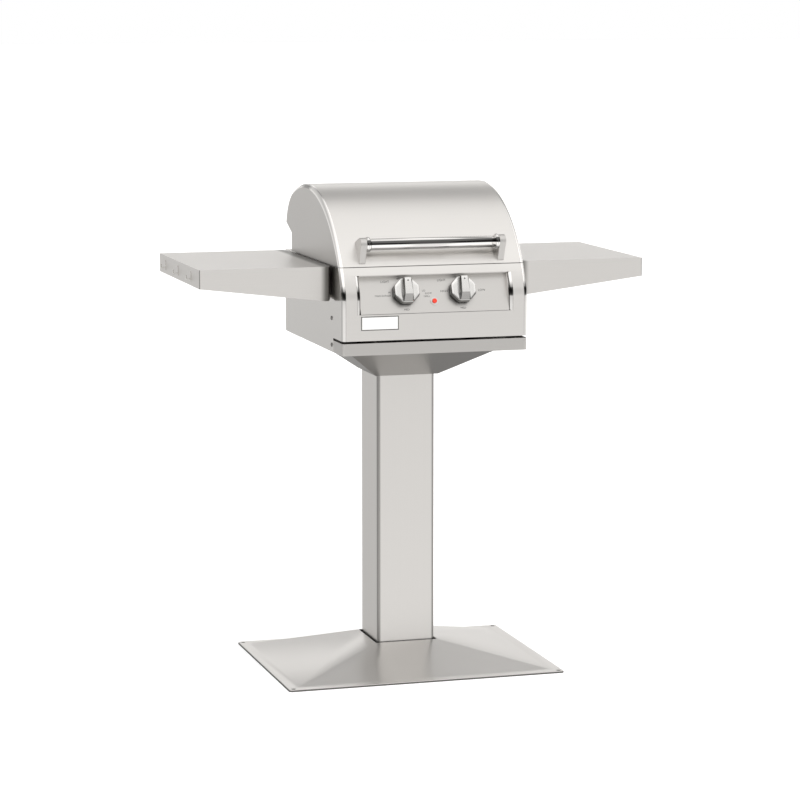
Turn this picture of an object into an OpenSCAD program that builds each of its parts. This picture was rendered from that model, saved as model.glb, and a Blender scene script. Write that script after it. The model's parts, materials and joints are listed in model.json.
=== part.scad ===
/* [Base and post] */
// Width of the base plate
base_w = 638; // [580:1:700]
// Depth of the base plate
base_d = 492; // [440:1:540]
// Thickness of the base plate
base_t = 3; // [2:0.5:6]
// Width of the flat flange round the hipped cover
flange_w = 22; // [18:1:30]
// Height of the top edge of the hipped cover
cover_top_z = 56; // [40:1:90]
// Outer width of the square post
post_w = 134; // [120:1:150]
// Wall of the square post
post_wall = 3; // [2:0.5:5]
// Rounding of the post's edges
post_corner_r = 7; // [4:0.5:12]
// Gap between the post and the covers round it
cover_gap = 6; // [3:0.5:8]
// Lower edge of the flare that hides the top of the post
flare_bottom_z = 667; // [640:1:690]

/* [Firebox] */
// Width over the side panels
body_w = 420; // [400:1:440]
// Distance of the rear panel from the post's axis
rear_out = 199; // [197:1:201]
// Height of the firebox's underside
floor_z = 743; // [735:1:750]
// Height of the seam between firebox and lid
seam_z = 931; // [928:1:934]
// Sheet thickness of the covers and panels
sheet = 1.5; // [1.2:0.1:2]
// Radius of the polished edge trims
trim_r = 8.5; // [7:0.5:9]

/* [Lid] */
// Height of the lid's top
lid_top_z = 1093; // [1085:1:1100]
// Radius of the lid's front curve
arc_r = 321; // [316:1:326]
// Place of the centre of the front curve behind the post's axis
arc_y = 12; // [10:1:14]
// Width of the gap between the lid and the firebox
seam_gap = 1.2; // [0.8:0.1:2]
// Diameter of the handle bar
handle_d = 25.6; // [22:0.2:28]
// Distance of each handle ring from the side of the lid
handle_in = 65; // [60:1:80]

/* [Control panel] */
// Depth of the recess under its upper lip
recess_deep = 15.4; // [13:0.2:17]
// Width of the flat cheek and trims on each side of the recess
cheek_w = 42; // [38:1:50]
// Distance of each knob from the middle
knob_x = 64; // [58:1:70]
// Diameter of a knob's skirt
knob_d = 60; // [54:1:64]

/* [Shelves] */
// Distance of a shelf's outer end from the middle
shelf_end_x = 505.4; // [470:1:520]
// Height of the shelf's top
shelf_z = 930; // [929:0.5:931]
// Depth of the shelf's front flange beside the body
shelf_root_h = 75; // [65:1:80]
// Depth of the shelf's flange at its outer end
shelf_tip_h = 41; // [36:1:46]

/* [Hidden] */
$fn = 64;

// Over-cut that carries a cutting shape clear past the face it opens
cut = 1;
// A length longer than any piece, for cutting away a half space
far = 1200;
// Thin ends of the sloping blocks
hull_end = 0.15;
// Small true gap between pieces that move past each other
slip = 0.5;

half_w = body_w / 2;
side_in = half_w - sheet;
skin_x = half_w - trim_r;
arc_z = lid_top_z - arc_r;
recess_x = half_w - cheek_w;
handle_ring_x = half_w - handle_in;
// Turn, up from level, at which the front curve would meet the upright face
face_turn = 18.2;
face_y = -round(arc_r * cos(face_turn) - arc_y);

// The front curve, the small bend under it and the rear curve are tangent circles
bend_r = 60;
bend_y = face_y + bend_r;
bend_z = arc_z + sqrt(pow(arc_r - bend_r, 2) - pow(arc_y - bend_y, 2));
bend_dir = [bend_y - arc_y, bend_z - arc_z] / (arc_r - bend_r);
bend_turn = 180 - atan2(bend_dir[1], -bend_dir[0]);
join_y = 135;
join_turn = acos((join_y - arc_y) / arc_r);
join_dir = [cos(join_turn), sin(join_turn)];
rear_r = (rear_out - arc_y - arc_r * join_dir[0]) / (1 - join_dir[0]);
rear_c = [arc_y, arc_z] + (arc_r - rear_r) * join_dir;

// The notch behind the lid that lets it swing back over the firebox
notch_y = 140.5;
notch_z = 974;
notch_end_z = 999;
notch_rise = (notch_end_z - notch_z) / (rear_out - notch_y);
lid_bottom_z = seam_z + seam_gap;

hinge_y = 148;
hinge_z = 936;
hinge_knuckle_r = 4.5;
hinge_pin_r = 2;
pin_slip = 0.05;
hinge_leaf_w = 60;
hinge_leaf_set = 90;
hinge_leaf_x = half_w - hinge_leaf_set;
hinge_leaf_d = 36;
hinge_screw_y = 25;
hinge_knuckles = 3;
hinge_knuckle_w = hinge_leaf_w / hinge_knuckles;

gap_z = 769.5;
panel_z = 774.5;
tray_face_set = 1;
tray_face_y = face_y + tray_face_set;
return_deep = 76;
return_y = face_y + return_deep;

// The recess and the leaning knob panel
recess_z = 831;
lip_z = 914;
knob_foot_y = face_y + sheet;
knob_panel_h = 83.6;
// Lean of the knob panel, from its foot at the face to its top behind the lip
panel_tilt = round(asin((arc_front_y(lip_z, sheet) + recess_deep - knob_foot_y) / knob_panel_h));
knob_v = 47.8;
button_v = 26.4;

// Inner box
liner_gap = 12;
liner_x = half_w - liner_gap;
liner_set = 88;
liner_front_y = face_y + liner_set;
liner_back_y = 136;
liner_z = 790;
liner_top_z = seam_z - sheet;
drip_hole_w = 150;
drip_hole_d = 90;
drip_lip = 8;

// Gas train
pipe_r = 6.35;
pipe_up_y = -130;
pipe_flare_z = 722;
pipe_cross_z = 778;
pipe_inlet_z = 24;
manifold_set = 54;
manifold_y = face_y + manifold_set;
manifold_z = 839;
manifold_r = 9;
stem_r = 4;
burner_z = 852;
burner_r = 12;
burner_half = 55;
burner_x = liner_x / 2;
burner_set = 45;
burner_front_y = liner_front_y + burner_set;
burner_back_y = 100;

// Tray
tray_in = 98;
tray_half = half_w - tray_in;
pipe_gap = 20;
pipe_bend_x = tray_half + pipe_gap;
tray_z = 749;
tray_top_z = 767;
tray_back_y = 150;

// Shelf pivot
pivot_out = 22;
pivot_x = half_w + pivot_out;
pivot_up = 13;
pivot_z = shelf_z - shelf_root_h + pivot_up;
pivot_swing_r = 20;
shelf_gap = 3.5;
shelf_in_x = half_w + shelf_gap;
shelf_front_y = -216;
shelf_back_y = 194;
shelf_corner_r = 14;
ear_y = 150;
ear_t = 4;
ear_r = 12;
ear_slot_w = 7;
ear_slot_up = 18;
lug_y = 158;
lug_t = 3;
rod_r = 4;
rod_half = 166;

function arc_front_y(z, inset) = arc_y - sqrt(pow(arc_r - inset, 2) - pow(z - arc_z, 2));

steel = "silver";
bright = "gainsboro";
dark = "dimgray";

// Puts a profile drawn as (depth, height) upright and extrudes it from x0 to x1
module across(x0, x1) {
    translate([x0, 0, 0]) rotate([90, 0, 90]) linear_extrude(x1 - x0) children();
}

module both_sides() {
    children();
    mirror([1, 0, 0]) children();
}

module rounded_rect(w, d, r) {
    square([w - 2 * r, d], center = true);
    square([w, d - 2 * r], center = true);
    for (x = [-1, 1], y = [-1, 1]) translate([x * (w / 2 - r), y * (d / 2 - r)]) circle(r = r);
}

module slot_shape(w, h) {
    square([w, h - w], center = true);
    for (y = [-1, 1]) translate([0, y * (h - w) / 2]) circle(d = w);
}

module rounded_ring(w, d, r, wall) {
    difference() {
        rounded_rect(w, d, r);
        rounded_rect(w - 2 * wall, d - 2 * wall, r - wall);
    }
}

module corners(x, y) {
    for (i = [-1, 1], j = [-1, 1]) translate([i * x, j * y, 0]) children();
}

// A block with four sloping sides between a low rectangle and a high one
module hipped_block(low, low_z, high, high_z) {
    hull() {
        hipped_end(low, low_z);
        hipped_end(high, high_z);
    }
}

module hipped_end(plan, z) {
    translate([plan[0], plan[1], z]) cube([plan[2] - plan[0], plan[3] - plan[1], hull_end]);
}

// A rectangle of half widths x and y about the axis
function plan_about(x, y) = [-x, -y, x, y];
// The same rectangle drawn in by inset on all four sides
function drawn_in(plan, inset) = plan + inset * [1, 1, -1, -1];

/* Outline of the lid seen from the side, drawn in by inset */
module lid_outline(inset, base_z) {
    split_y = arc_y + (arc_r - inset) * join_dir[0];
    difference() {
        union() {
            intersection() {
                translate([arc_y, arc_z]) circle(r = arc_r - inset, $fn = 180);
                translate([-far, base_z]) square([far + split_y, far]);
            }
            intersection() {
                translate(rear_c) circle(r = rear_r - inset, $fn = 96);
                translate([split_y, rear_c[1]]) square([far, far]);
            }
            translate([split_y - cut, base_z])
                square([rear_out - inset - split_y + cut, rear_c[1] - base_z]);
        }
        notch_outline(inset, base_z - cut);
    }
}

module notch_outline(inset, base_z) {
    rise = inset * sqrt(1 + pow(notch_rise, 2));
    wall_y = notch_y - inset;
    top_z = notch_z - notch_rise * inset + rise;
    end_y = rear_out + far;
    polygon([[wall_y, base_z], [wall_y, top_z], [end_y, top_z + notch_rise * (end_y - wall_y)], [end_y, base_z]]);
}

/* Outline of the front of the firebox seen from the side, drawn in by inset */
module panel_outline(inset, z0, z1, back_y) {
    split_z = arc_z + (arc_r - inset) * bend_dir[1];
    intersection() {
        union() {
            intersection() {
                translate([arc_y, arc_z]) circle(r = arc_r - inset, $fn = 180);
                translate([-far, split_z]) square([2 * far, far]);
            }
            translate([bend_y, bend_z]) circle(r = bend_r - inset);
            translate([bend_y, bend_z]) square([far, split_z - bend_z + cut]);
            translate([face_y + inset, -far]) square([far, far + bend_z]);
        }
        translate([-far, z0]) square([far + back_y, z1 - z0]);
    }
}

module quarter_ring(radius, x_mid, wall) {
    translate([radius, x_mid]) intersection() {
        difference() {
            circle(r = trim_r);
            circle(r = trim_r - wall);
        }
        square([trim_r, trim_r]);
    }
}

// Polished quarter-round edge that follows a circle about a crosswise axis
module arc_trim(centre, radius, turn0, turn1, x_mid) {
    translate([0, centre[0], centre[1]]) rotate([90, 0, 90]) rotate([0, 0, turn0])
        rotate_extrude(angle = turn1 - turn0, $fn = 180)
            quarter_ring(radius - trim_r, x_mid, sheet);
}

// Frame of the leaning knob panel: x across, v up the panel, z out of it
module on_panel(x, v) {
    translate([0, knob_foot_y, recess_z]) rotate([90 - panel_tilt, 0, 0]) translate([x, v, 0]) children();
}

/* Base and post */

anchor_in_x = 11;
anchor_in_y = 10;
anchor_x = base_w / 2 - anchor_in_x;
anchor_y = base_d / 2 - anchor_in_y;
anchor_r = 5.5;
foot_w = 210;
foot_t = 8;
foot_bolt_xy = 86;
bolt_r = 6;
bolt_slip = 0.2;
bolt_head_r = 9.5;
bolt_head_h = 7.5;
service_hole_r = 28;

module base_plate() {
    color(steel) difference() {
        linear_extrude(base_t) rounded_rect(base_w, base_d, post_corner_r);
        corners(anchor_x, anchor_y) translate([0, 0, -cut]) cylinder(r = anchor_r, h = base_t + 2 * cut);
        corners(foot_bolt_xy, foot_bolt_xy) translate([0, 0, -cut])
            cylinder(r = bolt_r + bolt_slip, h = base_t + 2 * cut);
        translate([0, 0, -cut]) cylinder(r = service_hole_r, h = base_t + 2 * cut);
    }
}

module base_cover() {
    low = plan_about(base_w / 2 - flange_w, base_d / 2 - flange_w);
    top_half = post_w / 2 + cover_gap;
    high = plan_about(top_half, top_half);
    slope_wall = 3 * sheet;
    edge_in = 1;
    color(steel) difference() {
        union() {
            translate([0, 0, base_t]) linear_extrude(sheet)
                rounded_rect(base_w - 2 * edge_in, base_d - 2 * edge_in, post_corner_r - edge_in);
            hipped_block(low, base_t, high, cover_top_z);
        }
        hipped_block(drawn_in(low, slope_wall), base_t - sheet, drawn_in(high, hull_end), cover_top_z - sheet);
        translate([0, 0, cover_top_z / 2]) linear_extrude(cover_top_z) square(2 * top_half - sheet, center = true);
        corners(anchor_x, anchor_y) translate([0, 0, base_t - cut]) cylinder(r = anchor_r, h = sheet + 2 * cut);
    }
}

post_base_z = base_t + foot_t;
head_t = 6;
post_top_z = floor_z - head_t;

module post_tube() {
    color(steel) difference() {
        translate([0, 0, post_base_z]) linear_extrude(post_top_z - post_base_z)
            rounded_ring(post_w, post_w, post_corner_r, post_wall);
        translate([post_w / 2 - post_wall - cut, 0, pipe_flare_z]) rotate([0, 90, 0])
            cylinder(r = pipe_r + cover_gap / 2, h = post_wall + 2 * cut);
    }
}

module post_foot_flange() {
    color(dark) translate([0, 0, base_t]) difference() {
        linear_extrude(foot_t) rounded_rect(foot_w, foot_w, post_corner_r);
        corners(foot_bolt_xy, foot_bolt_xy) translate([0, 0, -cut])
            cylinder(r = bolt_r + bolt_slip, h = foot_t + 2 * cut);
        translate([0, 0, -cut]) cylinder(r = service_hole_r, h = foot_t + 2 * cut);
    }
}

module hex_bolt(grip) {
    cylinder(r = bolt_head_r, h = bolt_head_h, $fn = 6);
    translate([0, 0, -grip]) cylinder(r = bolt_r, h = grip);
}

module post_foot_bolts() {
    color(bright) corners(foot_bolt_xy, foot_bolt_xy) translate([0, 0, post_base_z]) hex_bolt(foot_t + base_t);
}

head_w = 176;
head_bolt_xy = 78;

module post_head_plate() {
    color(dark) translate([0, 0, post_top_z]) difference() {
        linear_extrude(head_t) rounded_rect(head_w, head_w, post_corner_r);
        corners(head_bolt_xy, head_bolt_xy) translate([0, 0, -cut])
            cylinder(r = bolt_r + bolt_slip, h = head_t + 2 * cut);
    }
}

// Bolts from below whose ends lie level with the firebox's floor
module post_head_bolts() {
    color(bright) corners(head_bolt_xy, head_bolt_xy) {
        translate([0, 0, post_top_z]) cylinder(r = bolt_r, h = head_t + sheet);
        translate([0, 0, post_top_z - bolt_head_h]) cylinder(r = bolt_head_r, h = bolt_head_h, $fn = 6);
    }
}

flare_in = 30;
flare_x = half_w - flare_in;
flare_lead = 6;
flare_front_y = return_y - flare_lead;
flare_back_in = 9;
flare_back_y = rear_out - flare_back_in;

module flare_cover() {
    low_half = post_w / 2 + cover_gap;
    front_gap = 2;
    low = [-low_half, -low_half - front_gap, low_half, low_half];
    high = [-flare_x, flare_front_y, flare_x, flare_back_y];
    wall_up = 1.4 * sheet;
    lip = 14;
    rim = drawn_in(low, sheet);
    color(steel) difference() {
        hipped_block(low, flare_bottom_z, high, floor_z - hull_end);
        intersection() {
            translate([0, 0, wall_up]) hipped_block(low, flare_bottom_z, high, floor_z - hull_end);
            translate([-half_w, -half_w - rear_out, flare_bottom_z])
                cube([body_w, 2 * (half_w + rear_out), floor_z - sheet - flare_bottom_z]);
        }
        translate([rim[0], rim[1], flare_bottom_z - cut]) cube([rim[2] - rim[0], rim[3] - rim[1], 2 * wall_up + cut]);
        translate([-flare_x + lip, flare_front_y + lip, floor_z - 2 * sheet])
            cube([2 * (flare_x - lip), flare_back_y - flare_front_y - 2 * lip, 3 * sheet]);
    }
}

/* Firebox */

rest_lap = 2;
floor_front_y = return_y + rest_lap;
ledge_front_y = liner_front_y - rest_lap;
ledge_gap = 1;
ledge_y = notch_y + ledge_gap;
bottom_fold = 14;
top_fold = 9;
rear_in_y = rear_out - sheet;

module firebox_floor() {
    color(steel) translate([0, 0, floor_z]) difference() {
        translate([-side_in, floor_front_y, 0]) cube([2 * side_in, rear_in_y - floor_front_y, sheet]);
        corners(head_bolt_xy, head_bolt_xy) translate([0, 0, -cut])
            cylinder(r = bolt_r + bolt_slip, h = sheet + 2 * cut);
        translate([pipe_bend_x, pipe_up_y, -cut]) cylinder(r = pipe_r + cover_gap / 2, h = sheet + 2 * cut);
    }
}

module side_outline() {
    difference() {
        union() {
            panel_outline(trim_r, floor_z, seam_z, 0);
            translate([-cut, floor_z]) square([rear_out + cut, seam_z - floor_z]);
        }
        translate([-far, -far]) square([far + floor_front_y - ledge_gap, far + panel_z]);
    }
}

module firebox_right() {
    screw_hole_r = screw_r + bolt_slip;
    color(steel) difference() {
        union() {
            across(side_in, half_w) side_outline();
            translate([side_in - bottom_fold, floor_front_y, floor_z + sheet])
                cube([bottom_fold, rear_in_y - floor_front_y, sheet]);
            translate([side_in - top_fold, ledge_front_y, seam_z - sheet])
                cube([top_fold, ledge_y - ledge_front_y, sheet]);
        }
        for (z = screw_heights) translate([side_in - cut, screw_y, z]) rotate([0, 90, 0])
            cylinder(r = screw_hole_r, h = sheet + 2 * cut);
    }
}

module firebox_right_side() {
    firebox_right();
}

module firebox_left_side() {
    mirror([1, 0, 0]) firebox_right();
}

vent_w = 44;
vent_h = 7;
vent_z = 800;
vent_step_x = 62;
vent_step_z = 20;

module firebox_rear_panel() {
    color(steel) difference() {
        union() {
            translate([-side_in, rear_in_y, floor_z]) cube([2 * side_in, sheet, seam_z - floor_z]);
            translate([-side_in, ledge_y, seam_z - sheet]) cube([2 * side_in, rear_out - ledge_y, sheet]);
        }
        for (i = [-2:2], k = [0:2]) translate([i * vent_step_x, rear_in_y - cut, vent_z + k * vent_step_z])
            rotate([-90, 0, 0]) linear_extrude(sheet + 2 * cut) rotate([0, 0, 90]) slot_shape(vent_h, vent_w);
    }
}

module liner_box(inset, z0, h) {
    translate([-liner_x + inset, liner_front_y + inset, z0])
        cube([2 * (liner_x - inset), liner_back_y - liner_front_y - 2 * inset, h]);
}

burner_mouth_r = 15;

module firebox_liner() {
    rim = 8;
    color(dark) difference() {
        union() {
            liner_box(0, liner_z, liner_top_z - liner_z);
            liner_box(-rim, liner_top_z - sheet, sheet);
            translate([-drip_hole_w / 2 - sheet, -drip_hole_d / 2 - sheet, liner_z - drip_lip])
                cube([drip_hole_w + 2 * sheet, drip_hole_d + 2 * sheet, drip_lip + cut]);
        }
        liner_box(sheet, liner_z + sheet, far);
        translate([-drip_hole_w / 2, -drip_hole_d / 2, liner_z - far]) cube([drip_hole_w, drip_hole_d, 2 * far]);
        for (x = [-knob_x, knob_x]) translate([x, liner_front_y - cut, burner_z]) rotate([-90, 0, 0])
            cylinder(r = burner_mouth_r, h = sheet + 2 * cut);
    }
}

ledge_w = 14;
rail_foot_w = 9;
burner_rest_w = 12;
burner_rest_y = [-110, 40];
grid_ledge_z = 896;
tamer_ledge_z = 868;
burner_ledge_z = burner_z - burner_r - 2 * sheet;

// Folded strips along the inner walls that carry burners, flame tamers and grids
module liner_ledges() {
    in_x = liner_x - sheet;
    front = liner_front_y + sheet;
    back = liner_back_y - sheet;
    color(dark) for (z = [grid_ledge_z, tamer_ledge_z, burner_ledge_z]) {
        translate([-in_x, front, z]) cube([2 * in_x, ledge_w, sheet]);
        translate([-in_x, back - ledge_w, z]) cube([2 * in_x, ledge_w, sheet]);
    }
    color(dark) for (y = burner_rest_y)
        translate([-in_x, y, burner_ledge_z]) cube([2 * in_x, burner_rest_w, 2 * sheet]);
}

screw_set = 12;
screw_y = return_y + screw_set;
screw_heights = [758.5, 817];
screw_head_r = 4.5;
screw_head_h = 2.2;
screw_r = 2;
screw_l = 6;

module side_screws() {
    color("dimgray") both_sides() for (z = screw_heights) translate([half_w, screw_y, z]) rotate([0, 90, 0]) {
        cylinder(r = screw_head_r, h = screw_head_h);
        translate([0, 0, -screw_l]) cylinder(r = screw_r, h = screw_l);
    }
}

/* Control panel */

module control_panel() {
    opening_x = recess_x + trim_r;
    window_deep = 42;
    color(steel) difference() {
        union() {
            across(-skin_x, skin_x) difference() {
                panel_outline(0, panel_z, seam_z, ledge_front_y);
                panel_outline(sheet, panel_z + sheet, seam_z - sheet, ledge_front_y + far);
                translate([face_y + bottom_fold, panel_z - cut]) square([far, sheet + 2 * cut]);
            }
        }
        translate([-opening_x, face_y - cut, recess_z]) cube([2 * opening_x, window_deep, lip_z - recess_z]);
    }
}

// Everything in front of the back face of the leaning panel, seen from the side
module before_lean(back) {
    lean = [sin(panel_tilt), cos(panel_tilt)];
    foot = [knob_foot_y, recess_z] + back * [cos(panel_tilt), -sin(panel_tilt)];
    polygon([foot - far * lean, foot + far * lean, foot + far * lean - [far, 0], foot - far * lean - [far, 0]]);
}

knob_hole_r = 6.5;
button_r = 5;
neck_r = 6.5;

module knob_panel() {
    foot_gap = sheet / 2;
    band_y = arc_front_y(lip_z, sheet);
    top_y = knob_foot_y + knob_panel_h * sin(panel_tilt) + sheet;
    top_z = recess_z + knob_panel_h * cos(panel_tilt);
    color(steel) {
        on_panel(0, 0) translate([0, 0, -sheet]) linear_extrude(sheet) difference() {
            translate([-recess_x, foot_gap]) square([2 * recess_x, knob_panel_h - foot_gap]);
            for (x = [-knob_x, knob_x]) translate([x, knob_v]) circle(r = knob_hole_r);
            translate([0, button_v]) circle(r = neck_r);
        }
        both_sides() across(recess_x - slip, recess_x + sheet) intersection() {
            panel_outline(trim_r, recess_z, lip_z - 2 * sheet, 0);
            before_lean(sheet / 2);
        }
        across(-recess_x + slip / 2, recess_x - slip / 2) polygon([
            [band_y, lip_z - sheet], [top_y, top_z - sheet], [top_y, top_z],
            [band_y + sheet, lip_z], [band_y, lip_z]]);
    }
}

// The quarter-round edge from z0 to z1 along the front of the firebox, in lengths that butt
module front_trim(z0, z1, x_mid) {
    joint = 0.15;
    arc_joint_turn = joint * 180 / (PI * arc_r);
    bend_joint_turn = joint * 180 / (PI * bend_r);
    intersection() {
        union() {
            arc_trim([arc_y, arc_z], arc_r, 90, bend_turn - arc_joint_turn, x_mid);
            arc_trim([bend_y, bend_z], bend_r, bend_turn, 180 - bend_joint_turn, x_mid);
            translate([0, face_y + trim_r, z0]) linear_extrude(bend_z - z0)
                rotate([0, 0, -90]) quarter_ring(0, x_mid, sheet);
        }
        translate([-far, -far, z0]) cube([2 * far, 2 * far, z1 - z0]);
    }
}

module panel_trims() {
    color(bright) both_sides() front_trim(panel_z, seam_z, skin_x);
}

module recess_trims() {
    edge_x = recess_x + trim_r;
    color(bright) both_sides() translate([2 * edge_x, 0, 0]) mirror([1, 0, 0])
        front_trim(recess_z, lip_z, edge_x);
}

badge_lead = 0.4;
badge_x = -recess_x - badge_lead;
badge_w = 84;
badge_z = 797.4;
badge_h = 30.4;

module badge_plate() {
    color(bright) translate([badge_x, face_y - sheet, badge_z]) cube([badge_w, sheet, badge_h]);
}

/* Gas train */

module pipe_run(points) {
    for (i = [0:len(points) - 2]) {
        step = points[i + 1] - points[i];
        reach = norm(step);
        translate(points[i]) rotate([0, acos(step[2] / reach), atan2(step[1], step[0])])
            cylinder(r = pipe_r, h = reach, $fn = 32);
        if (i > 0) translate(points[i]) sphere(r = pipe_r, $fn = 32);
    }
}

module gas_pipe() {
    color("darkgray") {
        pipe_run([
            [0, 0, pipe_inlet_z], [0, 0, pipe_flare_z], [pipe_bend_x, 0, pipe_flare_z],
            [pipe_bend_x, pipe_up_y, pipe_flare_z], [pipe_bend_x, pipe_up_y, pipe_cross_z],
            [pipe_bend_x, manifold_y, pipe_cross_z], [pipe_bend_x, manifold_y, manifold_z - manifold_r]]);
    }
}

valve_in = 8;
valve_len = 44;
valve_half = 13;

module manifold() {
    reach_x = pipe_bend_x + manifold_r;
    color("darkgray") translate([-knob_x - 2 * manifold_r, manifold_y, manifold_z]) rotate([0, 90, 0])
        cylinder(r = manifold_r, h = reach_x + knob_x + 2 * manifold_r);
}

module valve() {
    outlet_r = 5;
    outlet_y = manifold_y + outlet_r + cut;
    color("darkgoldenrod") difference() {
        union() {
            on_panel(knob_x, knob_v) translate([-valve_half, -valve_half, -valve_in - valve_len])
                cube([2 * valve_half, 2 * valve_half, valve_len]);
            translate([knob_x, outlet_y, burner_z]) rotate([-90, 0, 0])
                cylinder(r = outlet_r, h = liner_front_y + 2 * sheet - outlet_y);
        }
        translate([knob_x - far / 2, manifold_y, manifold_z]) rotate([0, 90, 0]) cylinder(r = manifold_r, h = far);
        on_panel(knob_x, knob_v) translate([0, 0, -valve_in - stem_in])
            cylinder(r = stem_r + pin_slip, h = stem_in + cut);
    }
}

module right_valve() {
    valve();
}

module left_valve() {
    translate([-2 * knob_x, 0, 0]) valve();
}

stem_in = 24;
stem_out = 22;
stem_gap = 1;
collar_t = 2;
collar_r = 10.5;

// Spring washer between the valve and the panel that moves in when the knob is pushed
module push_collar(x) {
    color("darkgray") on_panel(x, knob_v) translate([0, 0, -sheet - slip / 2 - collar_t]) difference() {
        cylinder(r = collar_r, h = collar_t);
        translate([0, 0, -cut]) cylinder(r = stem_r + pin_slip, h = collar_t + 2 * cut);
    }
}

module left_push_collar() {
    push_collar(-knob_x);
}

module right_push_collar() {
    push_collar(knob_x);
}

push_travel = 3;

module valve_stem(x) {
    inner = valve_in + stem_in - push_travel - stem_gap;
    color("silver") on_panel(x, knob_v) translate([0, 0, -inner]) cylinder(r = stem_r, h = inner + stem_out);
}

module left_valve_stem() {
    valve_stem(-knob_x);
}

module right_valve_stem() {
    valve_stem(knob_x);
}

skirt_gap = 4;
skirt_top = 15;
bevel_top = 19;
bevel_d = 50;
grip_w = 19;
grip_half = 25;
grip_top = 33;
grip_toe = 12;
knob_sides = 8;

// Eight-sided bevelled skirt with a raised grip bar that slopes off at its lower end
module knob(x) {
    color("lightgray") on_panel(x, knob_v) difference() {
        union() {
            rotate([0, 0, 180 / knob_sides]) {
                translate([0, 0, skirt_gap]) cylinder(d = knob_d, h = skirt_top - skirt_gap, $fn = knob_sides);
                translate([0, 0, skirt_top]) cylinder(d1 = knob_d, d2 = bevel_d, h = bevel_top - skirt_top, $fn = knob_sides);
            }
            across(-grip_w / 2, grip_w / 2) polygon([
                [-grip_half, skirt_top], [-grip_half, bevel_top], [-grip_toe, grip_top],
                [grip_half, grip_top], [grip_half, skirt_top]]);
        }
        translate([0, 0, skirt_gap - cut]) cylinder(r = stem_r, h = stem_out - skirt_gap + cut);
    }
}

module left_knob() {
    knob(-knob_x);
}

module right_knob() {
    knob(knob_x);
}

button_out = 5;
button_in = 14;
button_room = 4;
housing_r = 11;
housing_l = 28;
bezel_r = 9;
bezel_t = 1.5;

module igniter_housing() {
    color("dimgray") on_panel(0, button_v) difference() {
        union() {
            cylinder(r = bezel_r, h = bezel_t);
            translate([0, 0, -sheet]) cylinder(r = neck_r, h = sheet);
            translate([0, 0, -sheet - housing_l]) cylinder(r = housing_r, h = housing_l);
        }
        translate([0, 0, -button_in - button_room]) cylinder(r = button_r + 2 * pin_slip, h = far);
    }
}

module igniter_button() {
    color("red") on_panel(0, button_v) translate([0, 0, -button_in])
        cylinder(r = button_r, h = button_in + button_out);
}

/* Burners and cooking grids */

// A loop of tube joined by upright corner fittings, and the mouth that takes gas and air
module burner() {
    inner_x = burner_x - burner_half;
    outer_x = burner_x + burner_half;
    mouth_y = liner_front_y + 2 * sheet;
    fitting_wall = 1;
    fitting_r = burner_r + fitting_wall;
    color("darkgray") difference() {
        union() {
            for (x = [inner_x, outer_x]) translate([x, burner_front_y, burner_z]) rotate([-90, 0, 0])
                cylinder(r = burner_r, h = burner_back_y - burner_front_y);
            for (y = [burner_front_y, burner_back_y]) translate([inner_x, y, burner_z]) rotate([0, 90, 0])
                cylinder(r = burner_r, h = outer_x - inner_x);
            for (x = [inner_x, outer_x], y = [burner_front_y, burner_back_y])
                translate([x, y, burner_z - fitting_r]) cylinder(r = fitting_r, h = 2 * fitting_r);
            translate([knob_x, mouth_y, burner_z]) rotate([-90, 0, 0])
                cylinder(r = burner_r - fitting_wall, h = burner_front_y - mouth_y);
        }
        translate([knob_x, mouth_y - cut, burner_z]) rotate([-90, 0, 0])
            cylinder(r = burner_r - fitting_wall - sheet, h = burner_front_y - burner_r - mouth_y);
    }
}

module right_burner() {
    burner();
}

module left_burner() {
    mirror([1, 0, 0]) burner();
}

tamer_x0 = 8;
tamer_in = 12;
tamer_x1 = liner_x - tamer_in;
tamer_rise = 22;
tamer_z = tamer_ledge_z + sheet;

// Folded roof over a burner with a row of slots down each slope
module flame_tamer() {
    mid = (tamer_x0 + tamer_x1) / 2;
    front = liner_front_y + 2 * sheet;
    back = liner_back_y - 2 * sheet;
    slot_w = 5;
    slot_l = 26;
    slot_step = 42;
    thick = 1.2 * sheet;
    color("gray") difference() {
        translate([0, back, 0]) rotate([90, 0, 0]) linear_extrude(back - front) polygon([
            [tamer_x0, tamer_z], [mid, tamer_z + tamer_rise], [tamer_x1, tamer_z],
            [tamer_x1, tamer_z + thick], [mid, tamer_z + tamer_rise + thick], [tamer_x0, tamer_z + thick]]);
        for (y = [front + slot_step / 2:slot_step:back - slot_step / 2], x = [mid - slot_step, mid + slot_step])
            translate([x, y, tamer_z - cut]) linear_extrude(tamer_rise + 2 * cut)
                slot_shape(slot_w, slot_l);
    }
}

module right_flame_tamer() {
    flame_tamer();
}

module left_flame_tamer() {
    mirror([1, 0, 0]) flame_tamer();
}

rod_small_r = 3;
grid_x0 = 6;
grid_x1 = liner_x - grid_x0;
grid_rods = 13;
grid_back_gap = 10;
// How far apart crossing wires lie, in radii, so that each bites into the other
cross_share = 1.6;
grid_bar_shares = [0.02, 0.34, 0.66, 0.98];

module cooking_grid() {
    front = liner_front_y + 2 * sheet;
    back = liner_back_y - grid_back_gap;
    span = grid_x1 - grid_x0 - 2 * rod_small_r;
    low_z = grid_ledge_z + sheet + rod_small_r;
    top_z = low_z + cross_share * rod_small_r;
    color("lightgray") {
        for (i = [0:grid_rods - 1]) translate([grid_x0 + rod_small_r + i * span / (grid_rods - 1), front, top_z])
            rotate([-90, 0, 0]) cylinder(r = rod_small_r, h = back - front, $fn = 24);
        for (k = grid_bar_shares) translate([grid_x0, front + k * (back - front), low_z])
            rotate([0, 90, 0]) cylinder(r = rod_small_r, h = grid_x1 - grid_x0, $fn = 24);
    }
}

module right_cooking_grid() {
    cooking_grid();
}

module left_cooking_grid() {
    mirror([1, 0, 0]) cooking_grid();
}

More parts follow.
